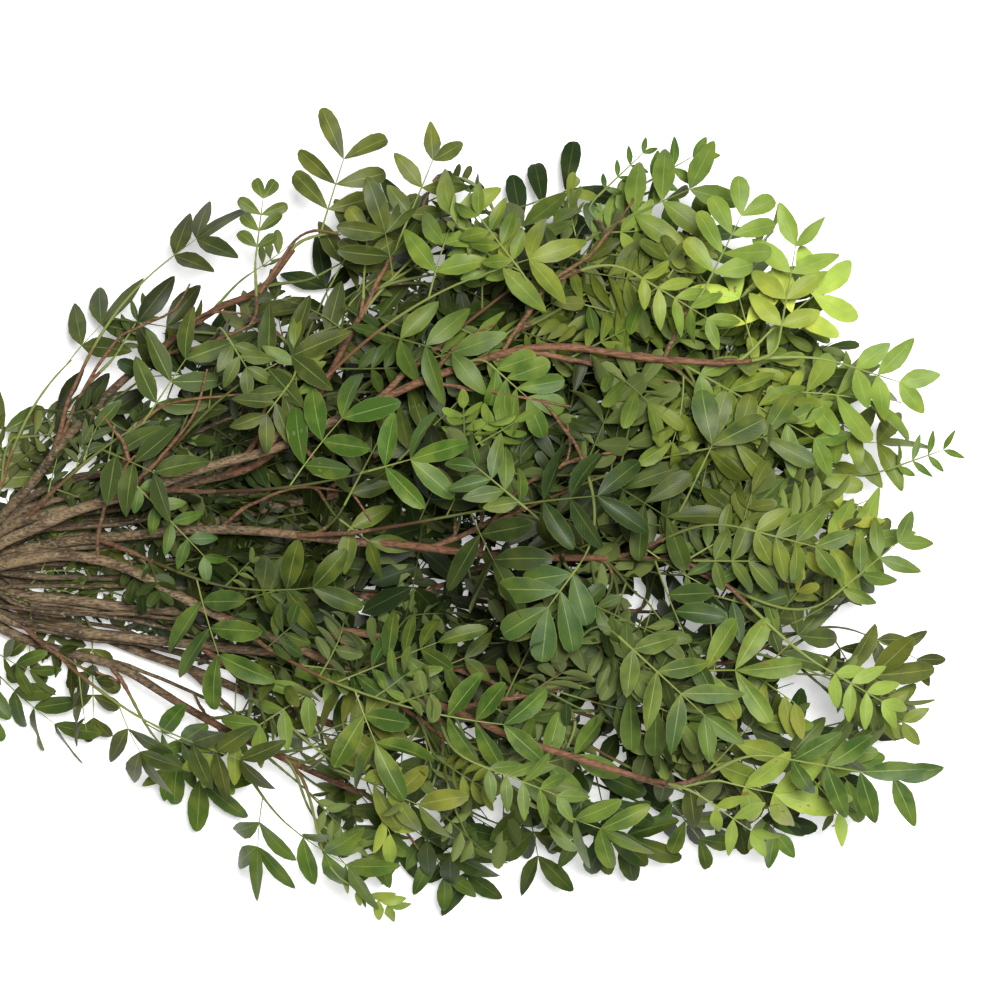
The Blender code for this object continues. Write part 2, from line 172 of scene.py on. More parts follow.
class Master:
    """The shape that was just modelled, as numbers, ready to be copied."""

    def __init__(self):
        bpy.ops.object.mode_set(mode="OBJECT")
        thing = bpy.context.object
        mesh = thing.data
        self.points = np.array([vertex.co for vertex in mesh.vertices])
        self.loops = np.array([i for face in mesh.polygons for i in face.vertices])
        self.totals = np.array([len(face.vertices) for face in mesh.polygons])
        bpy.data.objects.remove(thing)

    def face_heights(self):
        """The highest point of each face, along Z."""
        starts = np.cumsum(self.totals) - self.totals
        return np.maximum.reduceat(self.points[self.loops, 2], starts)


def unpicked():
    """The mesh in edit mode, with nothing selected."""
    mesh = bmesh.from_edit_mesh(bpy.context.object.data)
    for part in (*mesh.verts, *mesh.edges, *mesh.faces):
        part.select_set(False)
    return mesh


def pick(test):
    """In edit mode, selects the points whose place passes the test, and nothing else."""
    mesh = unpicked()
    for vertex in mesh.verts:
        if test(vertex.co):
            vertex.select_set(True)
    mesh.select_flush(True)
    bmesh.update_edit_mesh(bpy.context.object.data)


def resize_ring(height, size, reach=0.01):
    pick(lambda co: abs(co.z - height) < reach)
    bpy.ops.transform.resize(value=(size, size, 1))


def cylinder(sides, cuts):
    """A cylinder of radius 1 up Z from 0 to 1, cut into rings and left in edit mode."""
    bpy.ops.object.select_all(action="DESELECT")
    bpy.ops.mesh.primitive_cylinder_add(vertices=sides, radius=1, depth=1, location=(0, 0, 0.5))
    bpy.ops.object.transform_apply(location=True, rotation=True, scale=True)
    bpy.ops.object.mode_set(mode="EDIT")
    for edge in unpicked().edges:
        if abs(edge.verts[0].co.z - edge.verts[1].co.z) > 0.5:
            edge.select_set(True)
    bmesh.update_edit_mesh(bpy.context.object.data)
    bpy.ops.mesh.subdivide(number_cuts=cuts)


# The straight stem: a square cut end with its edge taken off, and old leaf scars that swell to one side
CUT_EDGE = 0.14
SCAR_SWELL = 1.05
SCAR_SHIFT = 0.06
cylinder(STEM_SIDES, STEM_CUTS)
pick(lambda co: co.z < 0.001)
bpy.ops.mesh.inset(thickness=CUT_EDGE)
pick(lambda co: co.z < 0.001 and co.xy.length > 0.95)
bpy.ops.transform.translate(value=(0, 0, 0.0012))
scars = random.Random(5)
ring = 4
while ring < STEM_CUTS:
    turn = scars.uniform(0, 2 * math.pi)
    resize_ring(ring / (STEM_CUTS + 1), SCAR_SWELL, 0.3 / STEM_CUTS)
    bpy.ops.transform.translate(value=(SCAR_SHIFT * math.cos(turn), SCAR_SHIFT * math.sin(turn), 0))
    ring += scars.choice((4, 6, 9, 13))
stem_master = Master()
stem_ends = np.array([-0.001 < height < 0.001 for height in stem_master.face_heights()])


class Heap:
    """Gathers copies of masters, which become the faces of one piece."""

    def __init__(self):
        self.points, self.loops, self.totals, self.slots, self.maps, self.vary = [], [], [], [], [], []
        self.count = 0

    def add(self, master, places, slot=0, vary=(0, 0, 0)):
        """places has a row of points for each copy; slot is one material or one for each of its faces."""
        copies, size = places.shape[:2]
        steps = self.count + np.arange(copies)[:, None] * size
        self.points.append(places.reshape(-1, 3))
        self.loops.append((master.loops[None, :] + steps).ravel())
        self.totals.append(np.tile(master.totals, copies))
        self.slots.append(np.tile(np.broadcast_to(slot, master.totals.shape), copies))
        flat = getattr(master, "map", np.zeros((len(master.loops), 2)))
        self.maps.append(np.tile(flat, (copies, 1)))
        self.vary.append(np.broadcast_to(vary, places.shape).reshape(-1, 3))
        self.count += copies * size

    def piece(self, name, materials):
        mesh = bpy.data.meshes.new(name)
        points, loops, totals = (np.concatenate(part) for part in (self.points, self.loops, self.totals))
        mesh.vertices.add(len(points))
        mesh.vertices.foreach_set("co", points.astype(np.float32).ravel())
        mesh.loops.add(len(loops))
        mesh.loops.foreach_set("vertex_index", loops.astype(np.int32))
        mesh.polygons.add(len(totals))
        starts = np.concatenate(([0], np.cumsum(totals)[:-1]))
        mesh.polygons.foreach_set("loop_start", starts.astype(np.int32))
        mesh.polygons.foreach_set("material_index", np.concatenate(self.slots).astype(np.int32))
        mesh.update(calc_edges=True)
        layer = mesh.uv_layers.new(name="leaf")
        layer.uv.foreach_set("vector", np.concatenate(self.maps).astype(np.float32).ravel())
        kind = mesh.attributes.new("vary", "FLOAT_VECTOR", "POINT")
        kind.data.foreach_set("vector", np.concatenate(self.vary).astype(np.float32).ravel())
        mesh.shade_smooth()
        mesh.set_sharp_from_angle(angle=math.radians(80))
        for material in materials:
            mesh.materials.append(material)
        made = bpy.data.objects.new(name, mesh)
        bpy.context.scene.collection.objects.link(made)
        return made


def lay_along(master, centres, radii):
    """The straight master's points laid along the centres: its Z becomes the way along."""
    shares = np.linspace(0, 1, len(centres))
    along = master.points[:, 2]
    radius = np.interp(along, shares, radii)[:, None]
    middle, up, side = (np.stack([np.interp(along, shares, values[:, axis]) for axis in range(3)], axis=1)
                        for values in frames_along(centres))
    return (middle + up * master.points[:, :1] * radius + side * master.points[:, 1:2] * radius)[None]


class Signal:
    """A value in a material's nodes, which adds, multiplies and so on like a number."""

    def __init__(self, look, socket):
        self.look, self.socket = look, socket

    def sums(self, operation, *others):
        return self.look.join("Math", dict(enumerate((self, *others))), operation=operation)

    def __add__(self, other):
        return self.sums("ADD", other)

    def __sub__(self, other):
        return self.sums("SUBTRACT", other)

    def __rsub__(self, other):
        return self.look.join("Math", {0: other, 1: self}, operation="SUBTRACT")

    def __mul__(self, other):
        return self.sums("MULTIPLY", other)

    def __truediv__(self, other):
        return self.sums("DIVIDE", other)

    def ramp(self, low, high):
        """0 up to low, 1 from high, smooth between."""
        return self.look.join("MapRange", {"Value": self, "From Min": low, "From Max": high},
                              interpolation_type="SMOOTHSTEP")


class Look:
    """A material in the making: its nodes, its shader and the place that it is read at."""

    def __init__(self, name, roughness, gloss=0.5):
        self.material = bpy.data.materials.new(name)
        self.material.use_nodes = True
        self.tree = self.material.node_tree
        self.shader = self.tree.nodes["Principled BSDF"]
        self.shader.inputs["Roughness"].default_value = roughness
        self.shader.inputs["Specular IOR Level"].default_value = gloss
        self.where = self.join("TexCoord", {}, "Object")

    def join(self, kind, inputs, output=0, **settings):
        """Adds a node and gives an output of it; an input is another node's output or a plain value."""
        made = self.tree.nodes.new("ShaderNode" + kind)
        for name, value in settings.items():
            setattr(made, name, value)
        for name, value in inputs.items():
            if isinstance(value, Signal):
                self.tree.links.new(value.socket, made.inputs[name])
            else:
                made.inputs[name].default_value = value
        return Signal(self, made.outputs[output])

    def parts(self, vector):
        read = self.join("SeparateXYZ", {"Vector": vector})
        return [Signal(self, output) for output in read.socket.node.outputs]

    def own(self):
        """The three numbers that a piece keeps for each of its points."""
        kept = self.join("Attribute", {}, "Vector", attribute_name="vary", attribute_type="GEOMETRY")
        return self.parts(kept)

    def grain(self, scale, detail=4, where=None):
        return self.join("TexNoise", {"Vector": where or self.where, "Scale": scale, "Detail": detail})

    def mixed(self, share, first, second):
        return self.join("Mix", {0: share, 6: first, 7: second}, 2, data_type="RGBA")

    def scaled(self, colour, amount):
        return self.join("VectorMath", {0: colour, "Scale": amount}, operation="SCALE")

    def feed(self, signal, name):
        self.tree.links.new(signal.socket, self.shader.inputs[name])

    def finish(self, colour, height, distance, strength=1.0):
        """Gives the shader its colour and its raised grain."""
        self.feed(colour, "Base Color")
        bump = self.join("Bump", {"Height": height, "Distance": distance, "Strength": strength})
        self.feed(bump, "Normal")
        return self.material


YOUNG_LIGHT = (0.19, 0.088, 0.042, 1)
YOUNG_DARK = (0.070, 0.031, 0.017, 1)
LICHEN = (0.27, 0.25, 0.17, 1)


def bark_material(name, light, dark, lichen_share):
    """Ridges along the stem, fine grain and pale patches of lichen."""
    look = Look(name, 0.75, 0.3)
    youth, dusk, _ = look.own()
    ridges = look.grain(900, 6, look.join("Mapping", {"Vector": look.where, "Scale": (0.22, 1, 1)}))
    blotches = look.grain(60, 3)
    tone = (ridges * 0.65 + blotches * 0.35).ramp(0.38, 0.62)
    young = (youth + blotches * 0.3).ramp(0.55, 0.85)
    colour = look.mixed(young, look.mixed(tone, dark, light), look.mixed(tone, YOUNG_DARK, YOUNG_LIGHT))
    # Painted shade: the bark is darkened by each piece's dusk value, most on the low side stems hidden
    # under the crown; on the other stems and twigs it is a tone that differs from piece to piece
    colour = look.scaled(colour, 1.0 - dusk * 0.6)
    crust = look.grain(420, 6).ramp(0.56, 0.70) * (1.0 - young * 0.8)
    return look.finish(look.mixed(crust * lichen_share, colour, LICHEN), ridges, 0.0004)


def wood_material():
    look = Look("cut_wood", 0.8)
    pores = look.grain(1400).ramp(0.4, 0.65)
    return look.finish(look.mixed(pores, (0.42, 0.30, 0.17, 1), (0.56, 0.44, 0.27, 1)), pores, 0.0001)


old_bark = bark_material("old_bark", (0.235, 0.165, 0.088, 1), (0.060, 0.038, 0.021, 1), 0.6)
cut_wood = wood_material()
routes = [stem_route(slot, points) for slot, cut, points in STEMS]
bark_heaps = [Heap() for stem in STEMS]
for number, ((slot, cut, points), route) in enumerate(zip(STEMS, routes)):
    straight = STRAIGHT_END - cut * MM
    whole = straight + route.length
    centres, radii, ages = [], [], []
    for step in range(STEM_STEPS + 1):
        run = whole * step / STEM_STEPS
        share = max(run - straight, 0) / route.length
        centre = route.at(share) if share else slot_centre(*slot) + Vector((cut * MM + run, 0, 0))
        wander = noise.noise_vector(Vector((run * 22, number * 3.1, 0))) * 1.6 * MM
        centres.append(centre + wander * clamp((run - straight) * 12))
        ripple = 1 + 0.07 * noise.noise(Vector((run * 60, number * 7.3, 0)))
        radii.append((STEM_RADIUS + (STEM_TIP_RADIUS - STEM_RADIUS) * share ** 0.8) * ripple)
        ages.append(share)
    tint = np.zeros((1, len(stem_master.points), 3))
    tint[0, :, 0] = np.interp(stem_master.points[:, 2], np.linspace(0, 1, STEM_STEPS + 1), ages)
    tint[0, :, 1] = 0.5 * (number * 0.37 % 1)
    laid = lay_along(stem_master, centres, radii)
    bark_heaps[number].add(stem_master, laid, np.where(stem_ends, 2, 0), tint)

# Side twigs
# Younger red-brown wood, two to four millimetres thick, grown out of the stems' scars.
# The twigs of the solids come first, then those between them, each up to where green growth starts.
TWIG_SHARE = 0.36
TWIG_RADIUS = 1.7 * MM
TWIG_STEPS = 16
BARE_TWIG_RADIUS = 1.25 * MM
BARE_TIP_RADIUS = 0.55 * MM
SHOOT_RADIUS = 1.0 * MM
SHOOT_TIP_RADIUS = 0.45 * MM
LEAF_REACH = 74 * MM
BOWS = ((0, 0), (0.3, 0), (-0.3, 0), (0, 0.3), (0, -0.3), (0.3, 0.3), (-0.3, 0.3), (0.3, -0.3),
        (-0.3, -0.3), (0.6, 0), (-0.6, 0), (0, 0.6), (0, -0.6), (0.6, 0.5), (-0.6, 0.5))

# Each stem's leafy sprays in the solids: the share of the stem where it leaves, and its furthest leaf tip
SPRAYS = (
    ((1.0, (535, -134, 150)), (0.72, (512, -48, 198)), (0.62, (440, -158, 134)), (0.42, (372, -84, 192))),
    ((1.0, (598, -57, 96)), (0.7, (566, -104, 112)), (0.36, (322, -134, 164)), (0.12, (226, -112, 122))),
    ((1.0, (352, -186, 66)), (0.66, (276, -178, 122)), (0.4, (204, -147, 40)), (0.02, (106, -108, 34))),
    ((1.0, (498, -158, 34)), (0.66, (412, -170, 14)), (0.4, (306, -166, 10))),
    ((1.0, (588, 16, 44)), (0.68, (520, 52, 14)), (0.6, (506, -88, 12)), (0.3, (322, 50, 10))),
    ((1.0, (462, 206, 30)), (0.7, (404, 244, 44)), (0.5, (330, 214, 14)), (0.26, (212, 164, 12))),
    ((1.0, (566, -129, 62)), (0.64, (536, -152, 86)), (0.5, (456, -168, 66))),
    ((1.0, (604, 80, 84)), (0.66, (544, 162, 74)), (0.5, (494, 212, 92)), (0.42, (446, 150, 12))),
    ((1.0, (328, 222, 96)), (0.12, (150, 172, 60)), (0.01, (68, 112, 36)), (0.34, (206, 222, 84))),
    ((1.0, (586, 26, 138)), (0.68, (512, 82, 200)), (0.5, (420, 52, 226)), (0.22, (262, -8, 158))),
    ((1.0, (352, 244, 118)), (0.6, (284, 234, 92)), (0.4, (262, 142, 162)), (0.2, (210, 118, 116))),
    ((1.0, (550, 182, 184)), (0.78, (572, 106, 160)), (0.6, (472, 230, 146)), (0.46, (400, 186, 206)),
     (0.3, (336, 78, 212))),
)


def twig_route(stem, share, tip, bow):
    start = stem.at(share)
    towards = (tip - start).normalized()
    side = towards.cross(UP).normalized()
    lift = side.cross(towards)
    bowed = side * bow[0] + lift * bow[1]
    leave = stem.heading(share)
    if share < 1:
        leave = (leave * 0.7 + towards * 0.6 + bowed).normalized()
    arrive = (towards - bowed * 0.4).normalized()
    return Route([start, tip - arrive * LEAF_REACH], [leave, arrive])


def shoot_start(share):
    return 0 if share == 1 else TWIG_SHARE


def surface_of(node):
    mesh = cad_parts[node].data
    return BVHTree.FromPolygons([vertex.co for vertex in mesh.vertices],
                                [tuple(face.vertices) for face in mesh.polygons])


def misses(surface, places):
    """How far the places lie from the surface, all told."""
    return sum(surface.find_nearest(place)[3] for place in places)


class Shoot:
    """A twig or shoot: its branch, its route, and the share of it where its wood turns green.

    Its leaves reach this far past the crown's outline (edge) and above its top (above), in mm.
    """

    def __init__(self, branch, route, green, base_radius, dusk, edge=0, above=0):
        self.branch, self.route, self.green, self.base_radius = branch, route, green, base_radius
        self.dusk, self.edge, self.above = dusk, edge, above
        self.surface, self.feature = None, None
        self.hidden, self.old, self.bare = False, False, False
        self.leafy_end = 0


shoots = []
for number, sprays in enumerate(SPRAYS):
    for place, (share, tip) in enumerate(sprays):
        surface = surface_of(f"branch_{number + 1:02d}_spray_{place + 1}")
        green = shoot_start(share)
        checks = [green + (0.98 - green) * i / 5 for i in range(6)]
        ways = [twig_route(routes[number], share, Vector(tip) * MM, bow) for bow in BOWS]
        route = min(ways, key=lambda way: misses(surface, [way.at(check) for check in checks]))
        shoot = Shoot(number, route, green, TWIG_RADIUS, 0.15, 6, 6)
        shoot.surface, shoot.seed = surface, 10 * number + place
        shoots.append(shoot)

# The crown's outline as the photo shows it from above, and the height of its top, in mm
UPPER_EDGE = np.array(((62, 90), (95, 106), (118, 129), (146, 148), (174, 168), (202, 196), (230, 202),
                       (255, 195), (286, 227), (314, 235), (342, 232), (375, 224), (403, 240), (448, 240),
                       (470, 224), (493, 210), (521, 190), (538, 165), (550, 135), (566, 108), (580, 60),
                       (590, 0)), dtype=float)
LOWER_EDGE = np.array(((62, -56), (87, -90), (104, -104), (123, -95), (146, -95), (182, -120),
                       (204, -140), (235, -136), (250, -178), (269, -188), (302, -188), (330, -182),
                       (353, -160), (386, -160), (420, -162), (454, -168), (498, -157), (532, -151),
                       (560, -123), (575, -84), (590, -45)), dtype=float)
CROWN_TOP = np.array(((62, 60), (118, 100), (174, 130), (230, 160), (286, 185), (342, 203), (454, 206),
                      (510, 194), (566, 155), (600, 110)), dtype=float)
CROWN_ROUNDNESS = 2.4
CROWN_CORE = 0.45
CROWN_END = 592


def crown_at(x):
    """Where the crown's outline lies at this X on its low and high Y sides, and the height of its top."""
    return (np.interp(x, edge[:, 0], edge[:, 1]) for edge in (LOWER_EDGE, UPPER_EDGE, CROWN_TOP))


def top_at(x, y):
    low, high, top = crown_at(x)
    aside = min(abs(2 * y - low - high) / (high - low), 1)
    core = CROWN_CORE * top
    dome = (1 - aside ** CROWN_ROUNDNESS) ** (1 / CROWN_ROUNDNESS)
    valley = max(0, noise.noise(Vector((x / 62, y / 40, 1.7))) + 0.1)
    return (core + (top - core) * dome) * (1 - 0.42 * valley)


def shaken(draw, spread):
    """A drawn vector, spread alike on each axis."""
    return Vector([draw.gauss(0, spread) for axis in range(3)])


def in_crown(place, edge, above):
    """Whether a place lies in the crown, which reaches this far past its outline and above its top."""
    x, y, z = place / MM
    low, high, top = crown_at(x)
    return x < CROWN_END + edge and low - edge < y < high + edge and z < top_at(x, y) + above


def crown_place(x, turn, depth):
    """A place in the crown: turn goes over it from its low Y side to its high one, depth is 1 outside."""
    low, high, top = crown_at(x)
    middle, half = (low + high) / 2, (high - low) / 2
    core = CROWN_CORE * top
    depth *= 0.94 + 0.2 * noise.noise(Vector((x / 48, turn * 1.6, 4)))
    aside = -math.copysign(abs(math.cos(turn)) ** 0.85, math.cos(turn)) * depth
    lift = math.copysign(abs(math.sin(turn)) ** 0.8, math.sin(turn)) * depth
    z = core + (top - core) * lift if lift > 0 else core + (core - 8) * lift
    heading = Vector((0.9, aside * 1.15, lift * 0.7)).normalized()
    return Vector((x, middle + half * aside, z)) * MM, heading


# Places where the photo looks into the bunch, in mm: middle, half lengths, and the share of the crown's
# height that stays open; then the stems that lie open, each from one share of its length to another
HOLLOWS = ((258, 45, 48, 34, 0.60), (374, 72, 32, 26, 0.80), (286, -11, 28, 26, 0.72),
           (176, 62, 40, 22, 0.60), (212, 40, 38, 30, 0.52), (330, 150, 20, 14, 0.75),
           (402, 190, 18, 14, 0.70))
OPEN_STEMS = ((0, 0, 0.60), (10, 0, 0.72), (11, 0.62, 1), (9, 0, 0.5), (1, 0, 0.35), (0, 0.8, 0.95))
OPEN_WIDTH = 21 * MM
open_line = np.array([routes[number].at(first + (last - first) * i / 30)
                      for number, first, last in OPEN_STEMS for i in range(31)])


def covers_open(place, reach):
    """Whether a leaf at this place would hide what the photo shows lying open."""
    x, y, z = place / MM
    for middle_x, middle_y, half_x, half_y, share in HOLLOWS:
        aside = ((x - middle_x) / half_x) ** 2 + ((y - middle_y) / half_y) ** 2
        if aside < 1 and z > share * top_at(x, y):
            return True
    apart = np.hypot(open_line[:, 0] - place.x, open_line[:, 1] - place.y)
    return bool(np.any((apart < OPEN_WIDTH * reach) & (open_line[:, 2] < place.z)))


def under_place(x, across):
    """A place low in the crown, across from its low Y side to its high one, heading outwards."""
    low, high, top = crown_at(x)
    heading = Vector((1, 1.6 * (across - 0.5), -0.05)).normalized()
    return Vector((x, low + (high - low) * (0.1 + 0.8 * across), 8 + 26 * grow.random())) * MM, heading


wood = []


def wood_for(tip, heading, nearest=70 * MM):
    """The wood that a new twig grows from: near, behind the tip, pointing its way and not yet used much."""
    best, least = None, math.inf
    for place, along, branch, radius, used in wood:
        way = tip - place
        length = way.length
        way = way / length
        agree = along.dot(way)
        if length < nearest or agree < 0.3:
            continue
        cost = length / MM + 70 * (1 - agree) + 50 * (1 - way.dot(heading)) + 30 * used[0]
        if cost < least:
            best, least = (place, along, branch, radius, used), cost
    if best:
        best[-1][0] += 1
    return best


def add_wood(route, last, branch, first_radius, last_radius=SHOOT_RADIUS):
    """Notes a route's wood, up to a share of its length, as places that twigs can grow from."""
    count = max(2, int(route.length * last / (14 * MM)))
    for i in range(1, count + 1):
        share = last * i / count
        radius = first_radius + (last_radius - first_radius) * i / count
        wood.append((route.at(share), route.heading(share), branch, radius, [0]))


for number, route in enumerate(routes):
    add_wood(route, 1, number, STEM_RADIUS, STEM_TIP_RADIUS)
for shoot in shoots:
    if shoot.green:
        add_wood(shoot.route, shoot.green, shoot.branch, TWIG_RADIUS)

# Thin side stems leave the stems just past the band and run low beside them, in mm
grow = random.Random(31)
for i in range(30):
    branch = i % len(STEMS)
    start = routes[branch].at(grow.uniform(0, 0.06))
    y = grow.uniform(-62, 82)
    near = Vector((grow.uniform(62, 76), 0.62 * y + grow.uniform(-5, 5), grow.uniform(9, 44))) * MM
    far = near + Vector((grow.uniform(50, 70), 0.25 * y, grow.uniform(-4, 14))) * MM
    tip = Vector((grow.uniform(170, 330), y * 1.5, grow.uniform(8, 62))) * MM
    route = Route([start, near, far, tip], through([start, near, far, tip]))
    # Their high dusk darkens their bark as painted shade under the crown
    green, radius, dusk = grow.uniform(0.7, 0.85), grow.uniform(1.1, 2.4) * MM, grow.uniform(0.35, 1)
    shoot = Shoot(branch, route, green, radius, dusk, -10, -25)
    shoot.hidden, shoot.old = True, True
    shoots.append(shoot)
    add_wood(route, green, branch, radius)

# Leaves that the photo shows clearly, in mm: where the rib starts and ends, the height (0 is on top),
# the pairs, the leaflets' length and slimness, how fresh they are and how far they hang
FEATURES = (
    (256, -49, 180, -99, 104, 6, 26, 0.38, 0.55, 1.0), (270, -64, 322, -44, 110, 5, 25, 0.34, 0.45, 1.0),
    (274, -139, 271, -158, 46, 2, 30, 0.40, 0.35, 0.2), (294, -142, 310, -172, 40, 3, 28, 0.36, 0.30, 0.3),
    (104, -34, 104, -82, 24, 4, 19, 0.50, 0.10, 0.0), (68, -27, 67, -47, 22, 2, 22, 0.44, 0.10, 0.2),
    (404, -27, 450, -69, 0, 4, 33, 0.33, 0.20, 0.7), (487, -92, 552, -104, 0, 4, 36, 0.32, 0.12, 0.9),
    (550, -32, 580, -46, 60, 3, 23, 0.34, 0.12, 0.7), (560, 62, 591, 73, 90, 4, 16, 0.27, 0.30, 0.0),
    (490, 129, 499, 180, 0, 4, 29, 0.38, 0.80, -0.4), (440, 118, 512, 78, 0, 5, 29, 0.36, 0.30, 0.0),
    (526, 118, 556, 108, 0, 3, 29, 0.38, 0.60, 0.0), (288, 193, 305, 232, 0, 3, 27, 0.38, 0.28, 0.0),
    (396, 214, 421, 238, 110, 4, 12, 0.30, 0.15, 0.0), (420, 220, 449, 236, 108, 3, 19, 0.34, 0.15, 0.0),
    (206, 180, 210, 212, 0, 4, 16, 0.50, 0.30, 0.0), (266, 170, 268, 192, 0, 2, 23, 0.46, 0.30, 0.0),
    (123, 130, 138, 154, 0, 4, 13, 0.30, 0.05, 0.0), (384, 11, 367, -12, 0, 3, 34, 0.44, 0.16, 0.3),
    (447, 57, 455, 74, 0, 1, 36, 0.42, 0.15, 0.0), (202, -10, 216, -6, 92, 4, 22, 0.34, 0.40, 0.0),
    (134, 57, 176, 14, 100, 5, 19, 0.40, 0.14, 0.1), (192, 134, 202, 118, 0, 3, 22, 0.36, 0.35, 0.4),
    (255, 42, 276, 82, 112, 4, 32, 0.34, 0.25, 0.0), (286, 67, 318, 99, 128, 4, 32, 0.34, 0.25, 0.0),
    (252, 34, 268, 22, 104, 2, 31, 0.36, 0.40, 0.0), (389, -121, 386, -148, 60, 3, 24, 0.38, 0.20, 0.3),
    (434, -121, 455, -148, 70, 3, 23, 0.42, 0.12, 0.4), (490, -118, 497, -143, 80, 3, 24, 0.40, 0.22, 0.2),
    (452, -116, 476, -133, 0, 3, 21, 0.36, 1.0, 0.2), (515, -45, 545, -62, 0, 4, 21, 0.38, 1.0, 0.4),
    (336, 118, 356, 100, 0, 4, 27, 0.44, 0.32, 0.0), (452, 160, 470, 196, 0, 4, 26, 0.44, 0.60, 0.0),
    (226, 108, 214, 92, 0, 3, 26, 0.36, 0.15, 0.2), (168, -92, 150, -112, 30, 3, 24, 0.34, 0.10, 0.6),
    (412, 166, 452, 142, 0, 5, 22, 0.34, 0.45, 0.2), (356, 40, 330, 62, 0, 4, 25, 0.36, 0.20, 0.0),
    (330, -96, 372, -112, 0, 5, 22, 0.32, 0.40, 0.6), (520, -8, 556, 22, 0, 4, 24, 0.36, 0.45, 0.1),
    (352, 168, 330, 196, 0, 4, 22, 0.36, 0.25, 0.0), (470, 30, 508, 20, 0, 4, 27, 0.38, 0.30, 0.3),
)


class Feature:
    """One of the clear leaves: its rib's two ends and its form."""

    def __init__(self, row):
        x, y, end_x, end_y, height, pairs, length, slim, fresh, hang = row
        z = height or top_at(x, y) + 6
        self.start, self.end = Vector((x, y, z)) * MM, Vector((end_x, end_y, z + 2)) * MM
        self.heading = (self.end - self.start).normalized()
        self.pairs, self.length, self.slim, self.fresh, self.hang = pairs, length * MM, slim, fresh, hang


# Bare twigs that the photo shows lying on top: the branch and the points, in mm
BARE_TWIGS = (
    (9, ((330, 16, 121), (342, 40, 146), (362, 58, 158), (378, 67, 163), (378, 86, 170))),
    (9, ((362, 58, 158), (380, 66, 161), (398, 70, 159))),
    (0, ((112, 12, 66), (117, 36, 88), (134, 67, 102), (147, 72, 99))),
    (0, ((134, 67, 102), (130, 78, 103), (119, 92, 98))),
    (8, ((206, 162, 82), (222, 186, 90), (235, 196, 94), (252, 194, 92))),
    (10, ((224, 81, 97), (242, 64, 104), (258, 50, 107), (270, 33, 107))),
    (11, ((303, 109, 153), (318, 128, 164), (338, 139, 171))),
    (11, ((303, 109, 153), (338, 103, 170), (380, 95, 175))),
    (10, ((264, 146, 112), (279, 175, 117), (291, 192, 119), (307, 226, 110))),
    (11, ((340, 120, 163), (367, 160, 170), (392, 179, 162), (414, 208, 138))),
    (2, ((261, -121, 64), (282, -138, 60), (298, -160, 50))),
    (8, ((84, 70, 42), (100, 103, 52), (124, 138, 60), (144, 147, 64), (156, 153, 66), (165, 168, 68))),
    (8, ((158, 138, 69), (173, 150, 82), (185, 151, 90), (200, 149, 96))),
    (8, ((142, 126, 64), (170, 132, 84), (192, 138, 98), (214, 150, 104))),
    (10, ((124, 48, 60), (133, 80, 86), (151, 97, 98), (168, 101, 104), (199, 104, 110))),
    (10, ((206, 66, 88), (210, 92, 108), (216, 112, 118), (221, 121, 122), (240, 137, 124))),
    (2, ((62, -36, 22), (80, -42, 26), (103, -54, 28), (122, -62, 26))),
    (9, ((181, 28, 70), (204, 44, 84), (226, 52, 92), (252, 50, 98))),
    (11, ((130, 48, 86), (152, 70, 98), (170, 92, 104), (178, 118, 104))),
    (11, ((430, 121, 178), (436, 136, 180), (440, 150, 174))),
)
for branch, points in BARE_TWIGS:
    points = [Vector(point) * MM for point in points]
    shoot = Shoot(branch, Route(points, through(points)), 1, BARE_TWIG_RADIUS, 0.1)
    shoot.bare = True
    shoots.append(shoot)
    add_wood(shoot.route, 1, branch, shoot.base_radius)
    open_line = np.concatenate([open_line, np.array([shoot.route.at(i / 8) for i in range(9)])])

for row in FEATURES:
    feature = Feature(row)
    start, along, branch, radius, _ = wood_for(feature.start, feature.heading, 24 * MM)
    leave = (along + (feature.start - start).normalized()).normalized()
    route = Route([start, feature.start], [leave, feature.heading])
    shoot = Shoot(branch, route, 0.45, min(radius * 0.7, 1.2 * MM), 0.2)
    shoot.feature = feature
    shoots.append(shoot)
    ribline = [feature.start.lerp(feature.end, i / 6) for i in range(9)]
    open_line = np.concatenate([open_line, np.array(ribline)])

# The shoots that fill the crown: each layer's name, how many there are, and how far out they lie
LAYERS = (("floor", 46, 0), ("under", 80, 0), ("inner", 46, 0.5), ("inner", 84, 0.75), ("outer", 140, 0.97),
          ("edge", 84, 1.02))
EDGE_REACH = {"outer": (-42, -14), "edge": (2, 13), "inner": (-50, -32)}
WAIST_END = 250


def draw_place(layer, depth):
    if layer == "floor":
        place, heading = under_place(grow.uniform(70, WAIST_END), grow.uniform(0.15, 0.85))
        place.z *= 0.5
        return place, heading
    if layer == "under":
        return under_place(grow.uniform(90, 490), grow.random())
    if layer == "edge":
        place, heading = crown_place(grow.uniform(70, 594), grow.choice((0, math.pi)) + grow.gauss(0, 0.22),
                                     depth * grow.uniform(0.96, 1.03))
        return place, (heading + Vector((0.2, 0, -0.25))).normalized()
    return crown_place(grow.uniform(95, CROWN_END), grow.uniform(-0.5, math.pi + 0.5),
                       depth * grow.uniform(0.9, 1.0))


def apart(place, layer):
    """How far a place lies from the tips so far, which counts for less over the waist's open middle."""
    nearest = min((place - tip).length for tip in tips)
    over_waist = layer == "outer" and place.x / MM < WAIST_END and -52 < place.y / MM < 70
    return 0.4 * nearest if over_waist else nearest


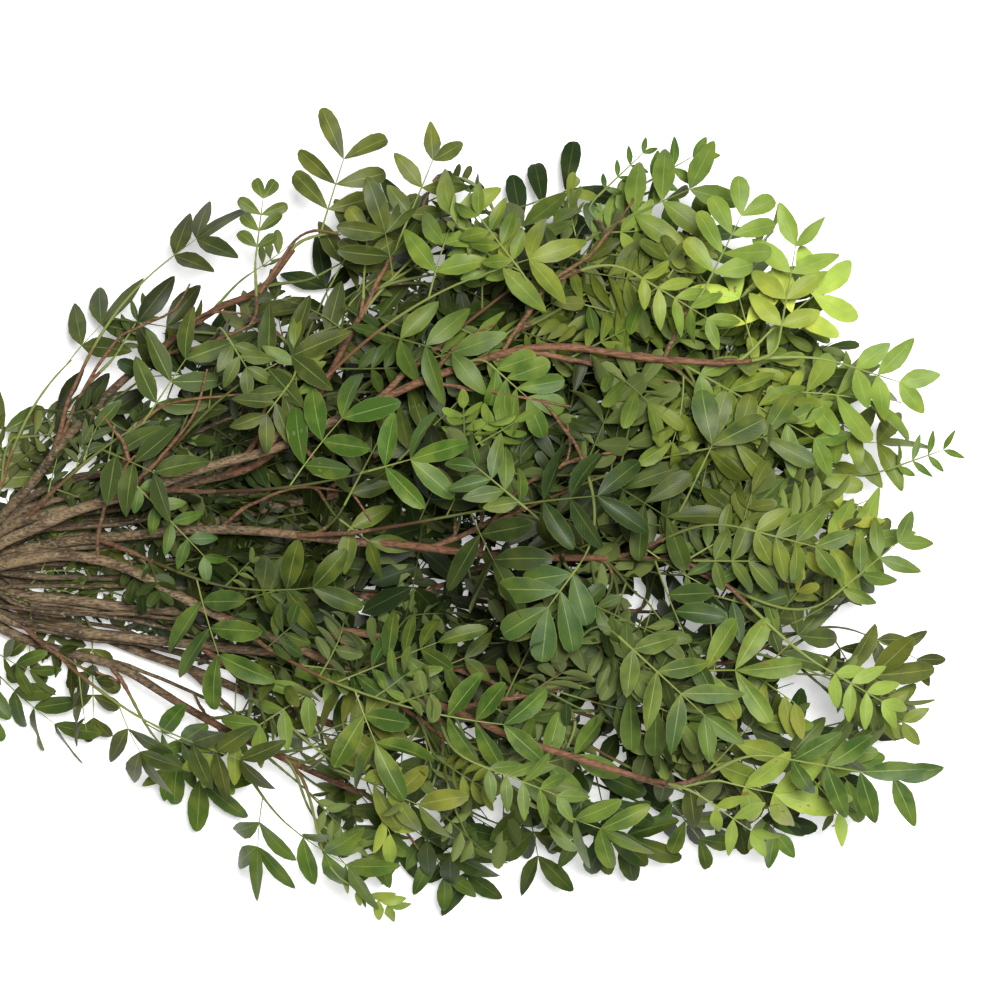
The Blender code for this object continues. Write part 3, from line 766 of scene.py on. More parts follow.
def grow_shoot(layer, depth):
    """A shoot to the one of many drawn places that lies furthest from the tips so far."""
    choices = [draw_place(layer, depth) for i in range(16)]
    tip, heading = max(choices, key=lambda choice: apart(choice[0], layer))
    jitter = shaken(grow, 0.22)
    heading = (heading + jitter).normalized()
    found = wood_for(tip, heading)
    tips.append(tip)
    if found is None:
        return
    start, along, branch, radius, _ = found
    leave = (along * 0.75 + (tip - start).normalized() * 0.6 + jitter * 0.8).normalized()
    route = Route([start, tip - heading * 40 * MM], [leave, heading])
    leafy_length = grow.uniform(80, 120) if tip.x > WAIST_END * MM else grow.uniform(50, 85)
    green = max(0.1, 1 - leafy_length * MM / route.length)
    leafy = [route.at(green + (1 - green) * i / 5) for i in range(6)]
    if sum(in_crown(place, 12, 4) and not covers_open(place, 0.6) for place in leafy) < 5:
        return
    shoot = Shoot(branch, route, green, min(radius * 0.8, 1.5 * MM), grow.uniform(0, 0.6))
    reach = {name: grow.uniform(*span) for name, span in EDGE_REACH.items()}
    shoot.edge = reach.get(layer, reach["inner"])
    shoot.above = grow.uniform(-16, 10) if layer in ("outer", "edge") else grow.uniform(-40, -22)
    shoot.hidden = layer in ("floor", "under") or depth < 0.6
    shoots.append(shoot)
    add_wood(route, green, branch, shoot.base_radius)


tips = [Vector(tip) * MM for sprays in SPRAYS for share, tip in sprays]
for layer, count, depth in LAYERS:
    for i in range(count):
        grow_shoot(layer, depth)

cylinder(8, 15)
for height in (4 / 16, 8 / 16, 12 / 16):
    resize_ring(height, 1.25)
twig_master = Master()
young_bark = bark_material("young_bark", (0.21, 0.108, 0.050, 1), (0.082, 0.038, 0.020, 1), 0.3)
for shoot in shoots:
    if shoot.green > 0:
        centres = []
        for step in range(TWIG_STEPS + 1):
            centre = shoot.route.at(shoot.green * step / TWIG_STEPS)
            bow = math.sin(math.pi * step / TWIG_STEPS)
            centres.append(centre + noise.noise_vector(centre * 70) * 1.7 * MM * bow)
        tip_radius = BARE_TIP_RADIUS if shoot.bare else SHOOT_RADIUS
        radii = np.linspace(shoot.base_radius, tip_radius, TWIG_STEPS + 1)
        age_and_dusk = (0.5 * shoot.dusk if shoot.old else 0, shoot.dusk, 0)
        bark_heaps[shoot.branch].add(twig_master, lay_along(twig_master, centres, radii),
                                     0 if shoot.old else 1, age_and_dusk)
for number, heap in enumerate(bark_heaps):
    bark = heap.piece(f"branch_{number + 1:02d}_bark", (old_bark, young_bark, cut_wood))
    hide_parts(f"branch_{number + 1:02d}_wood")
    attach(bark, "root")

# Leaves
# Thin leathery leaflets in pairs on a rib: deep glossy green above, paler and duller below.
# Each leaflet is a closed lens with a sunk midrib; it folds, bends and twists a little its own way.
PETIOLE = 15 * MM
PAIR_SPACING = 16 * MM
LEAFLET_LENGTH = 34 * MM
LEAFLET_WIDTH = 12.5 * MM
PAIR_ANGLE = math.radians(60)
LAST_PAIR_ANGLE = math.radians(38)
LEAF_ROOT_SINK = 5 * MM
SIDE_LEAF_ANGLE = math.radians(48)
LONG_SHOOT = 106 * MM
LEAF_THICKNESS = 0.25 * MM
RIB_RADIUS = 0.6 * MM
LEAFY_WOOD = 30 * MM
FIRST_LEAF = 25 * MM
LEAF_SPACING = 9 * MM
MISSING_SHARE = 0.05
TURNED_SHARE = 0.24
BOX_MARGIN = 3 * MM
SHOOT_STEPS = 12
YOUNG_REACH = 75 * MM
REST_BEND = 6 * MM
TURNS = tuple(math.radians(turn) for turn in (0, 22, -22, 44, -44, 66, -66, 90, -90, 120, -120, 150, 180))
TILTS = tuple(math.radians(tilt) for tilt in (0, 14, -14, 28))
UNDERSIDE = 1.5
# How much each leaflet may bend, fold, twist and wave, and where its wave starts
LEAFLET_FORMS = ((-0.2, 0.8), (0.05, 0.45), (-0.6, 0.6), (0, 0.16), (0, 6))

# Leaflet outlines: how far along each ring lies, and its half width as a share of the widest
OUTLINES = {
    "oval": ((0.07, 0.26), (0.24, 0.74), (0.45, 1.0), (0.66, 0.97), (0.85, 0.70), (0.965, 0.34)),
    "blunt": ((0.08, 0.22), (0.28, 0.62), (0.50, 0.92), (0.70, 1.0), (0.88, 0.80), (0.975, 0.42)),
    "slim": ((0.07, 0.28), (0.22, 0.74), (0.40, 1.0), (0.60, 0.90), (0.80, 0.60), (0.94, 0.28)),
    "middling": ((0.10, 0.40), (0.34, 0.95), (0.62, 0.96), (0.88, 0.55)),
    "plain": ((0.16, 0.5), (0.48, 1.0), (0.82, 0.78)),
}


def leaflet(outline, sides):
    """A ball pressed flat: its poles are the leaflet's root and tip, its top has a sunk midrib."""
    bpy.ops.object.select_all(action="DESELECT")
    bpy.ops.mesh.primitive_uv_sphere_add(segments=sides, ring_count=len(outline) + 1, radius=1)
    bpy.ops.object.mode_set(mode="EDIT")
    pick(lambda co: co.z > 0.999)
    bpy.ops.transform.translate(value=(0, 0, 4))
    pick(lambda co: co.z < -0.999)
    bpy.ops.transform.translate(value=(0, 0, 5))
    for number, (along, half) in enumerate(outline):
        turn = math.pi * (number + 1) / (len(outline) + 1)
        height = -math.cos(turn)
        pick(lambda co: abs(co.z - height) < 0.01)
        bpy.ops.transform.resize(value=(half / math.sin(turn), 1 / math.sin(turn), 1))
        bpy.ops.transform.translate(value=(0, 0, 4 + along - height))
    if sides == 8:
        pick(lambda co: abs(co.x) < 0.01 and 4.05 < co.z < 4.9)
        bpy.ops.transform.translate(value=(0, -0.9, 0))
    pick(lambda co: True)
    bpy.ops.transform.translate(value=(0, 0, -4))
    master = Master()
    halves = np.array([abs(master.points[abs(master.points[:, 2] - z) < 0.001, 0]).max()
                       for z in master.points[:, 2]])
    across = 0.5 + 0.5 * master.points[:, 0] / np.maximum(halves, 0.001)
    faces = np.repeat(np.arange(len(master.totals)), master.totals)
    middle = np.zeros(len(master.totals))
    np.add.at(middle, faces, master.points[master.loops, 1] - 0.0001)
    below = np.where(middle[faces] < 0, UNDERSIDE, 0)
    master.map = np.stack([master.points[master.loops, 2] + below, across[master.loops]], axis=1)
    return master


leaflet_masters = {name: leaflet(outline, {"plain": 4, "middling": 6}.get(name, 8))
                   for name, outline in OUTLINES.items()}
cylinder(4, 3)
for height, size in ((0.25, 0.85), (0.5, 0.72), (0.75, 0.6), (1, 0.4)):
    resize_ring(height, size)
rib_master = Master()


def unit(vectors):
    return vectors / np.linalg.norm(vectors, axis=-1, keepdims=True)


def shaped(master, rows):
    """Copies of a master, each set at its place, folded on its midrib, twisted, waved and bent down."""
    rows = np.array(rows)
    start, ahead, face = rows[:, None, 0:3], unit(rows[:, None, 3:6]), rows[:, None, 6:9]
    face = unit(face - ahead * np.sum(face * ahead, axis=-1, keepdims=True))
    side = np.cross(ahead, face)
    length, half, thick, bend, fold, twist, wave, phase = (rows[:, column, None] for column in range(9, 17))
    along, across, lift = master.points[:, 2][None], master.points[:, 0][None], master.points[:, 1][None]
    aside = across * half * np.cos(fold)
    rise = (np.abs(across) * half * np.sin(fold) + lift * thick
            + wave * half * np.sin(7 * along + phase) * across)
    turn = twist * along
    aside, rise = aside * np.cos(turn) - rise * np.sin(turn), aside * np.sin(turn) + rise * np.cos(turn)
    bend = np.where(abs(bend) < 0.02, 0.02, bend)
    swing = bend * along
    radius = length / bend
    forward = (radius * np.sin(swing) + rise * np.sin(swing))[..., None]
    upward = (-radius * (1 - np.cos(swing)) + rise * np.cos(swing))[..., None]
    return start + ahead * forward + side * aside[..., None] + face * upward


def solid_plan(draw):
    """The leaf plan that the solids use: each leaflet's root, angle, side, length, half width and lift."""
    pair_count, has_end_leaflet = draw.choice(((3, False), (2, True)))
    size = draw.uniform(0.92, 1.06)
    leaflets = []
    for pair in range(pair_count):
        root = PETIOLE + pair * PAIR_SPACING * size
        last = pair == pair_count - 1 and not has_end_leaflet
        angle = (LAST_PAIR_ANGLE if last else PAIR_ANGLE) + draw.uniform(-0.06, 0.06)
        for side in (-1, 1):
            length = LEAFLET_LENGTH * size * draw.uniform(0.88, 1.04)
            lift = draw.uniform(-0.22, 0.14)
            leaflets.append((root, angle, side, length, LEAFLET_WIDTH * size / 2, lift))
    if has_end_leaflet:
        leaflets.append((root, 0, 1, LEAFLET_LENGTH * size * 1.05, LEAFLET_WIDTH * size / 2, 0))
    return leaflets


leaf_draw = random.Random(77)


def grown_plan(size):
    """The plan of a leaf between those of the solids: three to five pairs, some with an end leaflet."""
    draw = leaf_draw
    pair_count = draw.choice((3, 3, 4, 4, 5))
    has_end_leaflet = draw.random() < 0.25
    spacing = draw.uniform(8, 11.5) * MM * size
    slim = draw.uniform(0.32, 0.46)
    longest = draw.uniform(21, 31) * MM * size
    root = draw.uniform(9, 15) * MM * size
    leaflets = []
    for pair in range(pair_count):
        last = pair == pair_count - 1 and not has_end_leaflet
        angle = draw.uniform(0.35, 0.75) if last else draw.uniform(0.8, 1.15)
        grown = (0.78, 0.95, 1.0, 0.97, 0.88)[pair]
        for side in (-1, 1):
            if draw.random() < MISSING_SHARE:
                continue
            length = longest * grown * draw.uniform(0.86, 1.06)
            leaflets.append((root, angle + draw.uniform(-0.16, 0.16), side, length, length * slim / 2,
                             draw.uniform(-0.4, 0.25)))
        root += spacing
    if has_end_leaflet or not leaflets:
        leaflets.append((root, 0, 1, longest, longest * slim / 2, draw.uniform(-0.2, 0.2)))
    return leaflets


def sag_at(place):
    """How far leaves hang towards low Y here, as the photo shows at the crown's low and far low side."""
    x, y = place.x / MM, place.y / MM
    low, high, top = crown_at(x)
    near_edge = clamp((low + 110 - y) / 90)
    return Vector((0, -0.75, -0.1)) * near_edge * clamp((x - 20) / 60)


def rib_place(start, heading, face, radius, run):
    """The place this far along a rib that arches down."""
    swing = run / radius
    return start + heading * (radius * math.sin(swing)) - face * (radius * (1 - math.cos(swing)))


def leaf_rows(plan, arch, start, heading, face, draw, sag):
    """Rows for a leaf's leaflets and one for its rib, on a rib that arches down."""
    across = face.cross(heading)
    radius = LEAF_REACH / arch
    rows = []
    for root, angle, side, length, half, lift in plan:
        swing = root / radius
        ahead = heading * math.cos(swing) - face * math.sin(swing)
        normal = face * math.cos(swing) + heading * math.sin(swing)
        place = rib_place(start, heading, face, radius, root)
        out = (across * side + normal * lift) * math.sin(angle)
        way = ahead * math.cos(angle) + out + sag * draw.uniform(0, 0.5)
        lean = draw.choice((0.3, 0.3, 0.3, 1.1))
        tilt = (normal + across * (side * draw.uniform(-0.7 * lean, lean))
                + ahead * draw.uniform(-lean, lean) + UP * draw.uniform(0, 0.3))
        bend, fold, twist, wave, phase = (draw.uniform(*span) for span in LEAFLET_FORMS)
        rows.append((*place, *way, *tilt, length, half, LEAF_THICKNESS, bend, fold, twist, wave, phase))
    end = max(leaflet[0] for leaflet in plan)
    rib_row = (*start, *heading, *face, end, RIB_RADIUS, RIB_RADIUS, end / radius, 0, 0, 0, 0)
    return rows, rib_row


def crown_outward(place):
    """Away from the line that the crown fans round."""
    middle = Vector((place.x, 0.05 * place.x, 90 * MM))
    return (place - middle).normalized()


def solid_leaves(shoot):
    """The leaves that the solid has, each turned the way that lies nearest to the solid's surface."""
    green_length = shoot.route.length * (1 - shoot.green)
    leaf_count = 3 if green_length > LONG_SHOOT else 2
    outward = crown_outward(shoot.route.at(1))
    found = []
    for leaf in range(leaf_count):
        draw = random.Random(1000 * shoot.seed + leaf)
        plan = solid_plan(draw)
        arch = draw.uniform(0.25, 0.6)
        roll = draw.uniform(-0.35, 0.35)
        share = 1 if leaf == 0 else shoot.green + (1 - shoot.green) * leaf / leaf_count
        along = shoot.route.heading(share)
        start = shoot.route.at(share) - along * (LEAF_ROOT_SINK if leaf == 0 else 0)
        hand = 1 if (shoot.seed + leaf) % 2 else -1
        face = squared(UP * 0.8 + outward * 0.45, along)
        face = Matrix.Rotation(roll, 3, along) @ face
        ways = []
        for turn in TURNS:
            turned = Matrix.Rotation(turn, 3, along) @ face
            for tilt in TILTS:
                lean = tilt if share == 1 else hand * (SIDE_LEAF_ANGLE + tilt)
                ways.append((Matrix.Rotation(lean, 3, turned) @ along, turned))
        ends = [(root + length * math.cos(angle), side * length * math.sin(angle))
                for root, angle, side, length, half, lift in plan]

        def off(way):
            heading, turned = way
            across = turned.cross(heading)
            return misses(shoot.surface, [rib_place(start, heading, turned, LEAF_REACH / arch, end)
                                          + across * aside for end, aside in ends])

        heading, turned = min(ways, key=off)
        if off((heading, turned)) < 12 * MM * len(ends):
            found.append((share, plan, arch, start, heading, turned))
    return found


# Small places where the photo looks right through to the table, in mm: middle and radius
WINDOWS = ((430, 1, 6), (418, -14, 4), (452, -22, 1), (392, -74, 3), (466, -6, 2), (508, -20, 5),
           (536, -28, 8), (245, -80, 9), (150, -52, 9), (176, -62, 8), (205, -110, 10), (268, -120, 8),
           (336, -135, 7), (470, -80, 7), (402, -100, 6), (250, 160, 9), (150, 110, 6), (520, -78, 7),
           (385, 190, 7), (440, 200, 6), (500, 150, 5), (540, 90, 6), (300, -128, 6), (240, -96, 7),
           (459, -50, 3), (495, -35, 7), (519, -33, 6), (511, -59, 8), (502, -90, 7), (487, -99, 7),
           (510, -106, 7), (409, -116, 8), (429, -118, 7), (391, -128, 8), (453, -135, 8), (425, -80, 5),
           (526, 148, 8), (545, 50, 6), (560, 10, 7), (350, 214, 7), (300, 178, 5), (120, -76, 8),
           (552, 78, 6), (520, 30, 5), (555, -20, 8), (290, -96, 5), (350, -112, 5), (470, 176, 6),
           (582, 28, 24), (524, -81, 10), (566, -122, 15), (472, 212, 14), (150, -108, 15), (182, -126, 12),
           (402, -168, 14), (235, 174, 12), (210, -164, 13), (575, 106, 10), (366, -166, 12),
           (333, -172, 10), (272, 222, 20), (178, 196, 20), (118, 146, 16), (584, -50, 8), (500, -146, 8),
           (300, -178, 8))
WINDOW_MARGIN = 7
NOTCH_SIZE = 17
NOTCH_DEPTH = 115
LOW_NOTCH_DEPTH = 190


def over_gap(row):
    """Whether a leaflet lies over a see-through place, or over a notch in the crown's ragged outline."""
    length, reach = row[9], math.dist(row[3:6], (0, 0, 0))
    x, y = ((row[axis] + 0.5 * length * row[3 + axis] / reach) / MM for axis in (0, 1))
    if any(math.hypot(x - window_x, y - window_y) < radius + WINDOW_MARGIN
           for window_x, window_y, radius in WINDOWS):
        return True
    low, high, top = crown_at(x)
    inside = max(min(y - low, high - y, CROWN_END - x), 0)
    depth = NOTCH_DEPTH if y > -70 else LOW_NOTCH_DEPTH
    return x > 110 and noise.noise(Vector((x / NOTCH_SIZE, y / NOTCH_SIZE, 8))) > inside / depth


# Where the leaves are young and bright, in mm: middle, spread and how much; light_at also uses them to
# paint light onto the leaves there
FRESH_PATCHES = ((545, 115, 95, 0.66), (590, 15, 75, 0.55), (225, -92, 42, 0.45), (470, -130, 60, 0.5),
                 (515, -60, 50, 0.45), (330, 190, 60, 0.26), (420, 215, 60, 0.32), (290, 60, 40, 0.1),
                 (300, -140, 70, 0.42), (390, -120, 60, 0.35))


def freshness(x, y):
    return sum(much * math.exp(-((x - middle_x) ** 2 + (y - middle_y) ** 2) / spread ** 2)
               for middle_x, middle_y, spread, much in FRESH_PATCHES)


DEPTH_REACH = 80


def deepness(x, y, z):
    """0 at the crown's top, 1 well inside it."""
    return clamp((top_at(x, y) - z) / DEPTH_REACH)


def light_at(x, y, z):
    """Less than 0 deep in the crown, in its dim middle left and in its middle; more where it is bright."""
    dusk = min(1, math.exp(-((x - 215) / 80) ** 2 - ((y - 55) / 55) ** 2)
               + 0.75 * math.exp(-((x - 385) / 80) ** 2 - ((y - 5) / 62) ** 2)
               + 0.25 * math.exp(-((x - 330) / 100) ** 2 - ((y - 130) / 60) ** 2))
    return 0.32 * freshness(x, y) - 0.75 * deepness(x, y, z) - 0.65 * dusk


def blueness(x, y):
    """The leaves of the crown's middle are blue-green."""
    return math.exp(-((x - 405) / 85) ** 2 - ((y - 2) / 65) ** 2)


def tone_of(place):
    """A shoot's colours by its place in the crown: how fresh it is, less so deep under the crown's top as
    painted shade, and how blue.
    """
    x, y, z = place / MM
    fresh = (0.05 + freshness(x, y)) * (1 - 0.7 * clamp((top_at(x, y) - z) / 70))
    return clamp(fresh + leaf_draw.gauss(0, 0.10)), clamp(blueness(x, y) + leaf_draw.gauss(0, 0.2))


KINDS = ("oval", "blunt", "slim", "middling", "plain", "rib")
foliage = [{kind: [] for kind in KINDS} for stem in STEMS]


def put_leaf(branch, kind, rows, tint, rib_row, rib_tint):
    """Keeps a leaf for its branch's piece: rows for its leaflets and its rib, each with its tint."""
    foliage[branch][kind] += [(row, tint) for row in rows]
    foliage[branch]["rib"].append((rib_row, rib_tint))


def leaflet_tip(row):
    return Vector(row[0:3]) + Vector(row[3:6]).normalized() * row[9]


def has_room(shoot, rows, middle, open_reach):
    """Whether a leaf stays in the crown and in the solids' box, and leaves open what lies open."""
    if not in_crown(middle, shoot.edge, shoot.above) or covers_open(middle, open_reach):
        return False
    low, high = cad_box
    for tip in (leaflet_tip(row) for row in rows):
        if tip.z > high.z + BOX_MARGIN:
            return False
        if any(not low[axis] - BOX_MARGIN < tip[axis] < high[axis] + BOX_MARGIN for axis in (0, 1)):
            return False
    return True


def add_leaf(shoot, plan, arch, start, heading, face, fresh, fixed=False):
    """Adds a leaf where there is room for it; a fixed one is always added. Says whether it was."""
    rows, rib_row = leaf_rows(plan, arch, start, heading, face, leaf_draw, sag_at(start))
    middle = sum((leaflet_tip(row) for row in rows), Vector()) / len(rows)
    open_reach = leaf_draw.choice((0, 0, 0.7) if shoot.surface else (0, 0.7, 1, 1, 1.15))
    if not fixed:
        if not has_room(shoot, rows, middle, open_reach):
            return False
        whole = len(rows)
        rows = [row for row in rows if not over_gap(row)]
        if len(rows) < max(3, 0.5 * whole):
            return False
    x, y, z = middle / MM
    # Painted shade and light: light_at darkens the leaf deep in the crown and in its dim middle and
    # brightens it in the fresh patches; its fresh value also drops with depth as painted shade
    shade = shoot.shade + leaf_draw.uniform(-0.15, 0.15) + light_at(x, y, z)
    tint = (fresh * (1 - 0.6 * deepness(x, y, z)), shade, shoot.blue)
    put_leaf(shoot.branch, shoot.kind, rows, tint, rib_row, (0.5 + 0.5 * fresh, shade, 0))
    return True


def leaf_face(along, outward):
    """A leaf's upper side faces up and out of the crown, more or less, or down where it is turned over."""
    spread = leaf_draw.choice((0.3, 0.5, 0.9))
    face = squared(UP * 0.8 + outward * 0.45 + shaken(leaf_draw, spread), along)
    return -face if leaf_draw.random() < TURNED_SHARE else face


def feature_rows(feature):
    """Rows for one of the clear leaves: flat to the viewer, its leaflets set evenly along the rib."""
    draw = feature_draw
    span = (feature.end - feature.start).length
    plan = []
    for pair in range(feature.pairs):
        root = span * (pair + 0.6) / (feature.pairs - 0.4)
        last = pair == feature.pairs - 1
        grown = 0.85 if last or pair == 0 else 1
        for side in (-1, 1):
            angle = (0.55 if last else 1.0) + draw.uniform(-0.15, 0.15)
            length = feature.length * grown * draw.uniform(0.9, 1.05)
            half = feature.length * feature.slim / 2
            plan.append((root, angle, side, length, half, draw.uniform(-0.2, 0.1)))
    face = squared((UP + shaken(draw, 0.15)).normalized(), feature.heading)
    hang = Vector((0, -1.5, -0.1)) * feature.hang
    return leaf_rows(plan, 0.2, feature.start, feature.heading, face, draw, hang)


def grow_feature(shoot):
    feature = shoot.feature
    rows, rib_row = feature_rows(feature)
    x, y, z = feature.end / MM
    # Painted shade: light_at darkens the clear leaves that lie deep in the crown or in its dim middle
    shade = feature_draw.uniform(0.4, 0.7) + 0.7 * min(light_at(x, y, z), 0)
    put_leaf(shoot.branch, "blunt" if feature.slim > 0.4 else "slim", rows,
             (0.6 * feature.fresh, shade, blueness(x, y)), rib_row, (0.5 + 0.5 * feature.fresh, 0.6, 0))
    shoot.leafy_end = 1


def kind_for(shoot, tip):
    """The leaflets' outline: simpler ones where they are hardly seen."""
    kind = leaf_draw.choice(("oval", "blunt", "slim") if tip.y > -60 * MM else ("oval", "slim", "slim"))
    if shoot.hidden:
        return "plain"
    return "middling" if shoot.above < -20 else kind


def grow_leaves(shoot):
    """The leaves that the solid has, then others at turns on both sides, and one at a free tip."""
    route = shoot.route
    tip = route.at(1)
    outward = crown_outward(tip)
    fresh, shoot.blue = tone_of(tip)
    shoot.kind = kind_for(shoot, tip)
    shoot_size = leaf_draw.uniform(0.8, 1.1) * (1 + 0.28 * shoot.blue)
    shoot_size *= 0.82 if tip.x < WAIST_END * MM else 1
    shoot.shade = leaf_draw.uniform(0.18, 1.0)
    taken = []
    if shoot.surface:
        for share, *leaf in solid_leaves(shoot):
            taken.append(share * route.length)
            add_leaf(shoot, *leaf, fresh, fixed=True)
            shoot.leafy_end = 1
    run = max(route.length * shoot.green - LEAFY_WOOD, FIRST_LEAF)
    hand = leaf_draw.choice((-1, 1))
    while run < route.length:
        hand = -hand
        share = run / route.length
        if all(abs(run - other) > LEAF_SPACING for other in taken):
            along = route.heading(share)
            face = leaf_face(along, outward)
            heading = Matrix.Rotation(hand * leaf_draw.uniform(0.55, 1.15), 3, face) @ along
            heading = (heading + face * leaf_draw.uniform(-0.35, 0.4) + sag_at(tip)).normalized()
            face = squared(face, heading)
            size = shoot_size * leaf_draw.uniform(0.88, 1.08) * (1 if share < 0.8 else 0.85)
            young = min(1, fresh + (0.3 * max(0, share - 0.6) / 0.4))
            plan, arch = grown_plan(size), leaf_draw.uniform(0.05, 1.1)
            if add_leaf(shoot, plan, arch, route.at(share), heading, face, young):
                shoot.leafy_end = max(shoot.leafy_end, share)
        run += leaf_draw.uniform(11, 18) * MM * shoot_size
    if not shoot.surface:
        along = route.heading(1)
        plan, arch = grown_plan(0.8 * shoot_size), leaf_draw.uniform(0.1, 0.7)
        face = leaf_face(along, outward)
        if add_leaf(shoot, plan, arch, route.at(0.99), along, face, min(1, fresh + 0.35)):
            shoot.leafy_end = 1


feature_draw = random.Random(12)
for shoot in shoots:
    if shoot.feature:
        grow_feature(shoot)
    elif not shoot.bare:
        grow_leaves(shoot)


def leaf_material(name, deep, bright, bluish, below):
    """A leaf's two faces: pale midrib, fine slanting veins, a thin pale margin, and mottled greens."""
    look = Look(name, 0.5, 0.2)
    run, across, _ = look.parts(look.join("UVMap", {}, uv_map="leaf"))
    fresh, shade, blue = look.own()
    under = run.sums("GREATER_THAN", 1.25)
    along = run - under * UNDERSIDE
    across = (across - 0.5).sums("ABSOLUTE")
    mottle = look.grain(70, 3).ramp(0.3, 0.7)
    # fresh, lowered deep in the crown as painted shade, turns the leaf from deep to bright green
    colour = look.mixed(fresh + (mottle - 0.5) * 0.25, deep, bright)
    colour = look.mixed(blue * 0.7, colour, bluish)
    olive = look.grain(14, 2).ramp(0.42, 0.62) * 0.6
    warm = look.join("VectorMath", {0: colour, 1: (1.48, 1.06, 0.76)}, operation="MULTIPLY")
    # Painted shade and light: shade, which holds a random tone per shoot and light_at's painted shade and
    # light, darkens or brightens the whole leaf colour
    dark = (shade * 0.9 + 0.5).sums("MAXIMUM", 0.25)
    colour = look.scaled(look.mixed(olive, colour, warm), dark)
    colour = look.mixed(under * 0.8, colour, look.mixed(fresh * 0.6, below, bright))
    veins = (along * 74.0 - across * 44.0).sums("SINE").ramp(0.72, 1.0)
    rib = 1.0 - (across / (along * -0.022 + 0.040)).ramp(0.5, 1.1)
    edge = across.ramp(0.465, 0.495)
    lines = (rib * 0.45).sums("MAXIMUM", (veins * 0.07).sums("MAXIMUM", edge * 0.3))
    colour = look.mixed(lines * dark, colour, (0.27, 0.34, 0.10, 1))
    spots = look.grain(210, 3).ramp(0.62, 0.70) * shade.sums("GREATER_THAN", 0.86)
    colour = look.mixed(spots * 0.8, colour, (0.16, 0.075, 0.025, 1))
    look.feed(under * 0.2 + 0.46, "Roughness")
    return look.finish(colour, mottle * 0.3 - (rib + veins), 0.0001, 0.5)


def rib_material(name):
    """Green shoots and ribs, yellow-green at the tips and reddish near the wood."""
    look = Look(name, 0.62, 0.15)
    youth, shade, _ = look.own()
    speck = (look.grain(300) - 0.5) * 0.5
    colour = look.mixed((youth + speck).ramp(0.05, 0.5), (0.15, 0.075, 0.035, 1), (0.19, 0.23, 0.06, 1))
    # Painted shade and light: shade darkens or brightens the shoots and ribs as it does the leaves
    dark = (shade * 0.9 + 0.5).sums("MAXIMUM", 0.3).sums("MINIMUM", 1.1)
    return look.finish(look.scaled(colour, dark), speck, 0.0004, 0.6)


GREENS = {
    "leaf_deep": leaf_material("leaf_deep", (0.029, 0.062, 0.008, 1), (0.27, 0.36, 0.055, 1),
                               (0.024, 0.050, 0.017, 1), (0.085, 0.105, 0.034, 1)),
    "leaf_fresh": leaf_material("leaf_fresh", (0.038, 0.088, 0.009, 1), (0.34, 0.45, 0.07, 1),
                                (0.029, 0.062, 0.019, 1), (0.11, 0.14, 0.040, 1)),
    "leaf_shade": leaf_material("leaf_shade", (0.038, 0.059, 0.011, 1), (0.25, 0.31, 0.05, 1),
                                (0.024, 0.048, 0.017, 1), (0.085, 0.10, 0.036, 1)),
}
BRANCH_GREENS = ("leaf_deep", "leaf_shade", "leaf_fresh", "leaf_fresh", "leaf_deep", "leaf_deep",
                 "leaf_fresh", "leaf_fresh", "leaf_shade", "leaf_deep", "leaf_shade", "leaf_fresh")
young_shoot = rib_material("young_shoot")
cylinder(6, 11)
for height in (2 / 12, 4 / 12, 6 / 12, 8 / 12, 10 / 12):
    resize_ring(height, 1.2)
shoot_master = Master()


def add_green(heap, shoot):
    """The green part of a shoot, from its wood to its last leaf, redder the further it is from its tip."""
    leafy = shoot.leafy_end - shoot.green
    centres = [shoot.route.at(shoot.green + leafy * step / SHOOT_STEPS) for step in range(SHOOT_STEPS + 1)]
    radii = np.linspace(SHOOT_RADIUS, SHOOT_TIP_RADIUS, SHOOT_STEPS + 1)
    from_tip = leafy * shoot.route.length * (1 - shoot_master.points[:, 2])
    tint = np.zeros((1, len(shoot_master.points), 3))
    tint[0, :, 0] = np.clip(1.1 - from_tip / YOUNG_REACH, 0, 1)
    # Painted shade and light: the green part is darkened or brightened by light_at at its middle
    tint[0, :, 1] = 0.5 + light_at(*(centres[SHOOT_STEPS // 2] / MM))
    heap.add(shoot_master, lay_along(shoot_master, centres, radii), 1, tint)


for number, slot in enumerate(BRANCH_GREENS):
    heap = Heap()
    for kind, rows in foliage[number].items():
        if rows:
            master = rib_master if kind == "rib" else leaflet_masters[kind]
            places, tints = zip(*rows)
            heap.add(master, shaped(master, places), 1 if kind == "rib" else 0, np.array(tints)[:, None, :])
    for shoot in shoots:
        if shoot.branch == number and shoot.leafy_end > shoot.green:
            add_green(heap, shoot)
    for points in heap.points:
        low = points[:, 2] < REST_BEND
        points[low, 2] = REST_BEND * np.exp((points[low, 2] - REST_BEND) / REST_BEND)
    leaves = heap.piece(f"branch_{number + 1:02d}_leaves", (GREENS[slot], young_shoot))
    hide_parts(*[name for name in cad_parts
                          if name.startswith(f"branch_{number + 1:02d}_spray")])
    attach(leaves, "root")

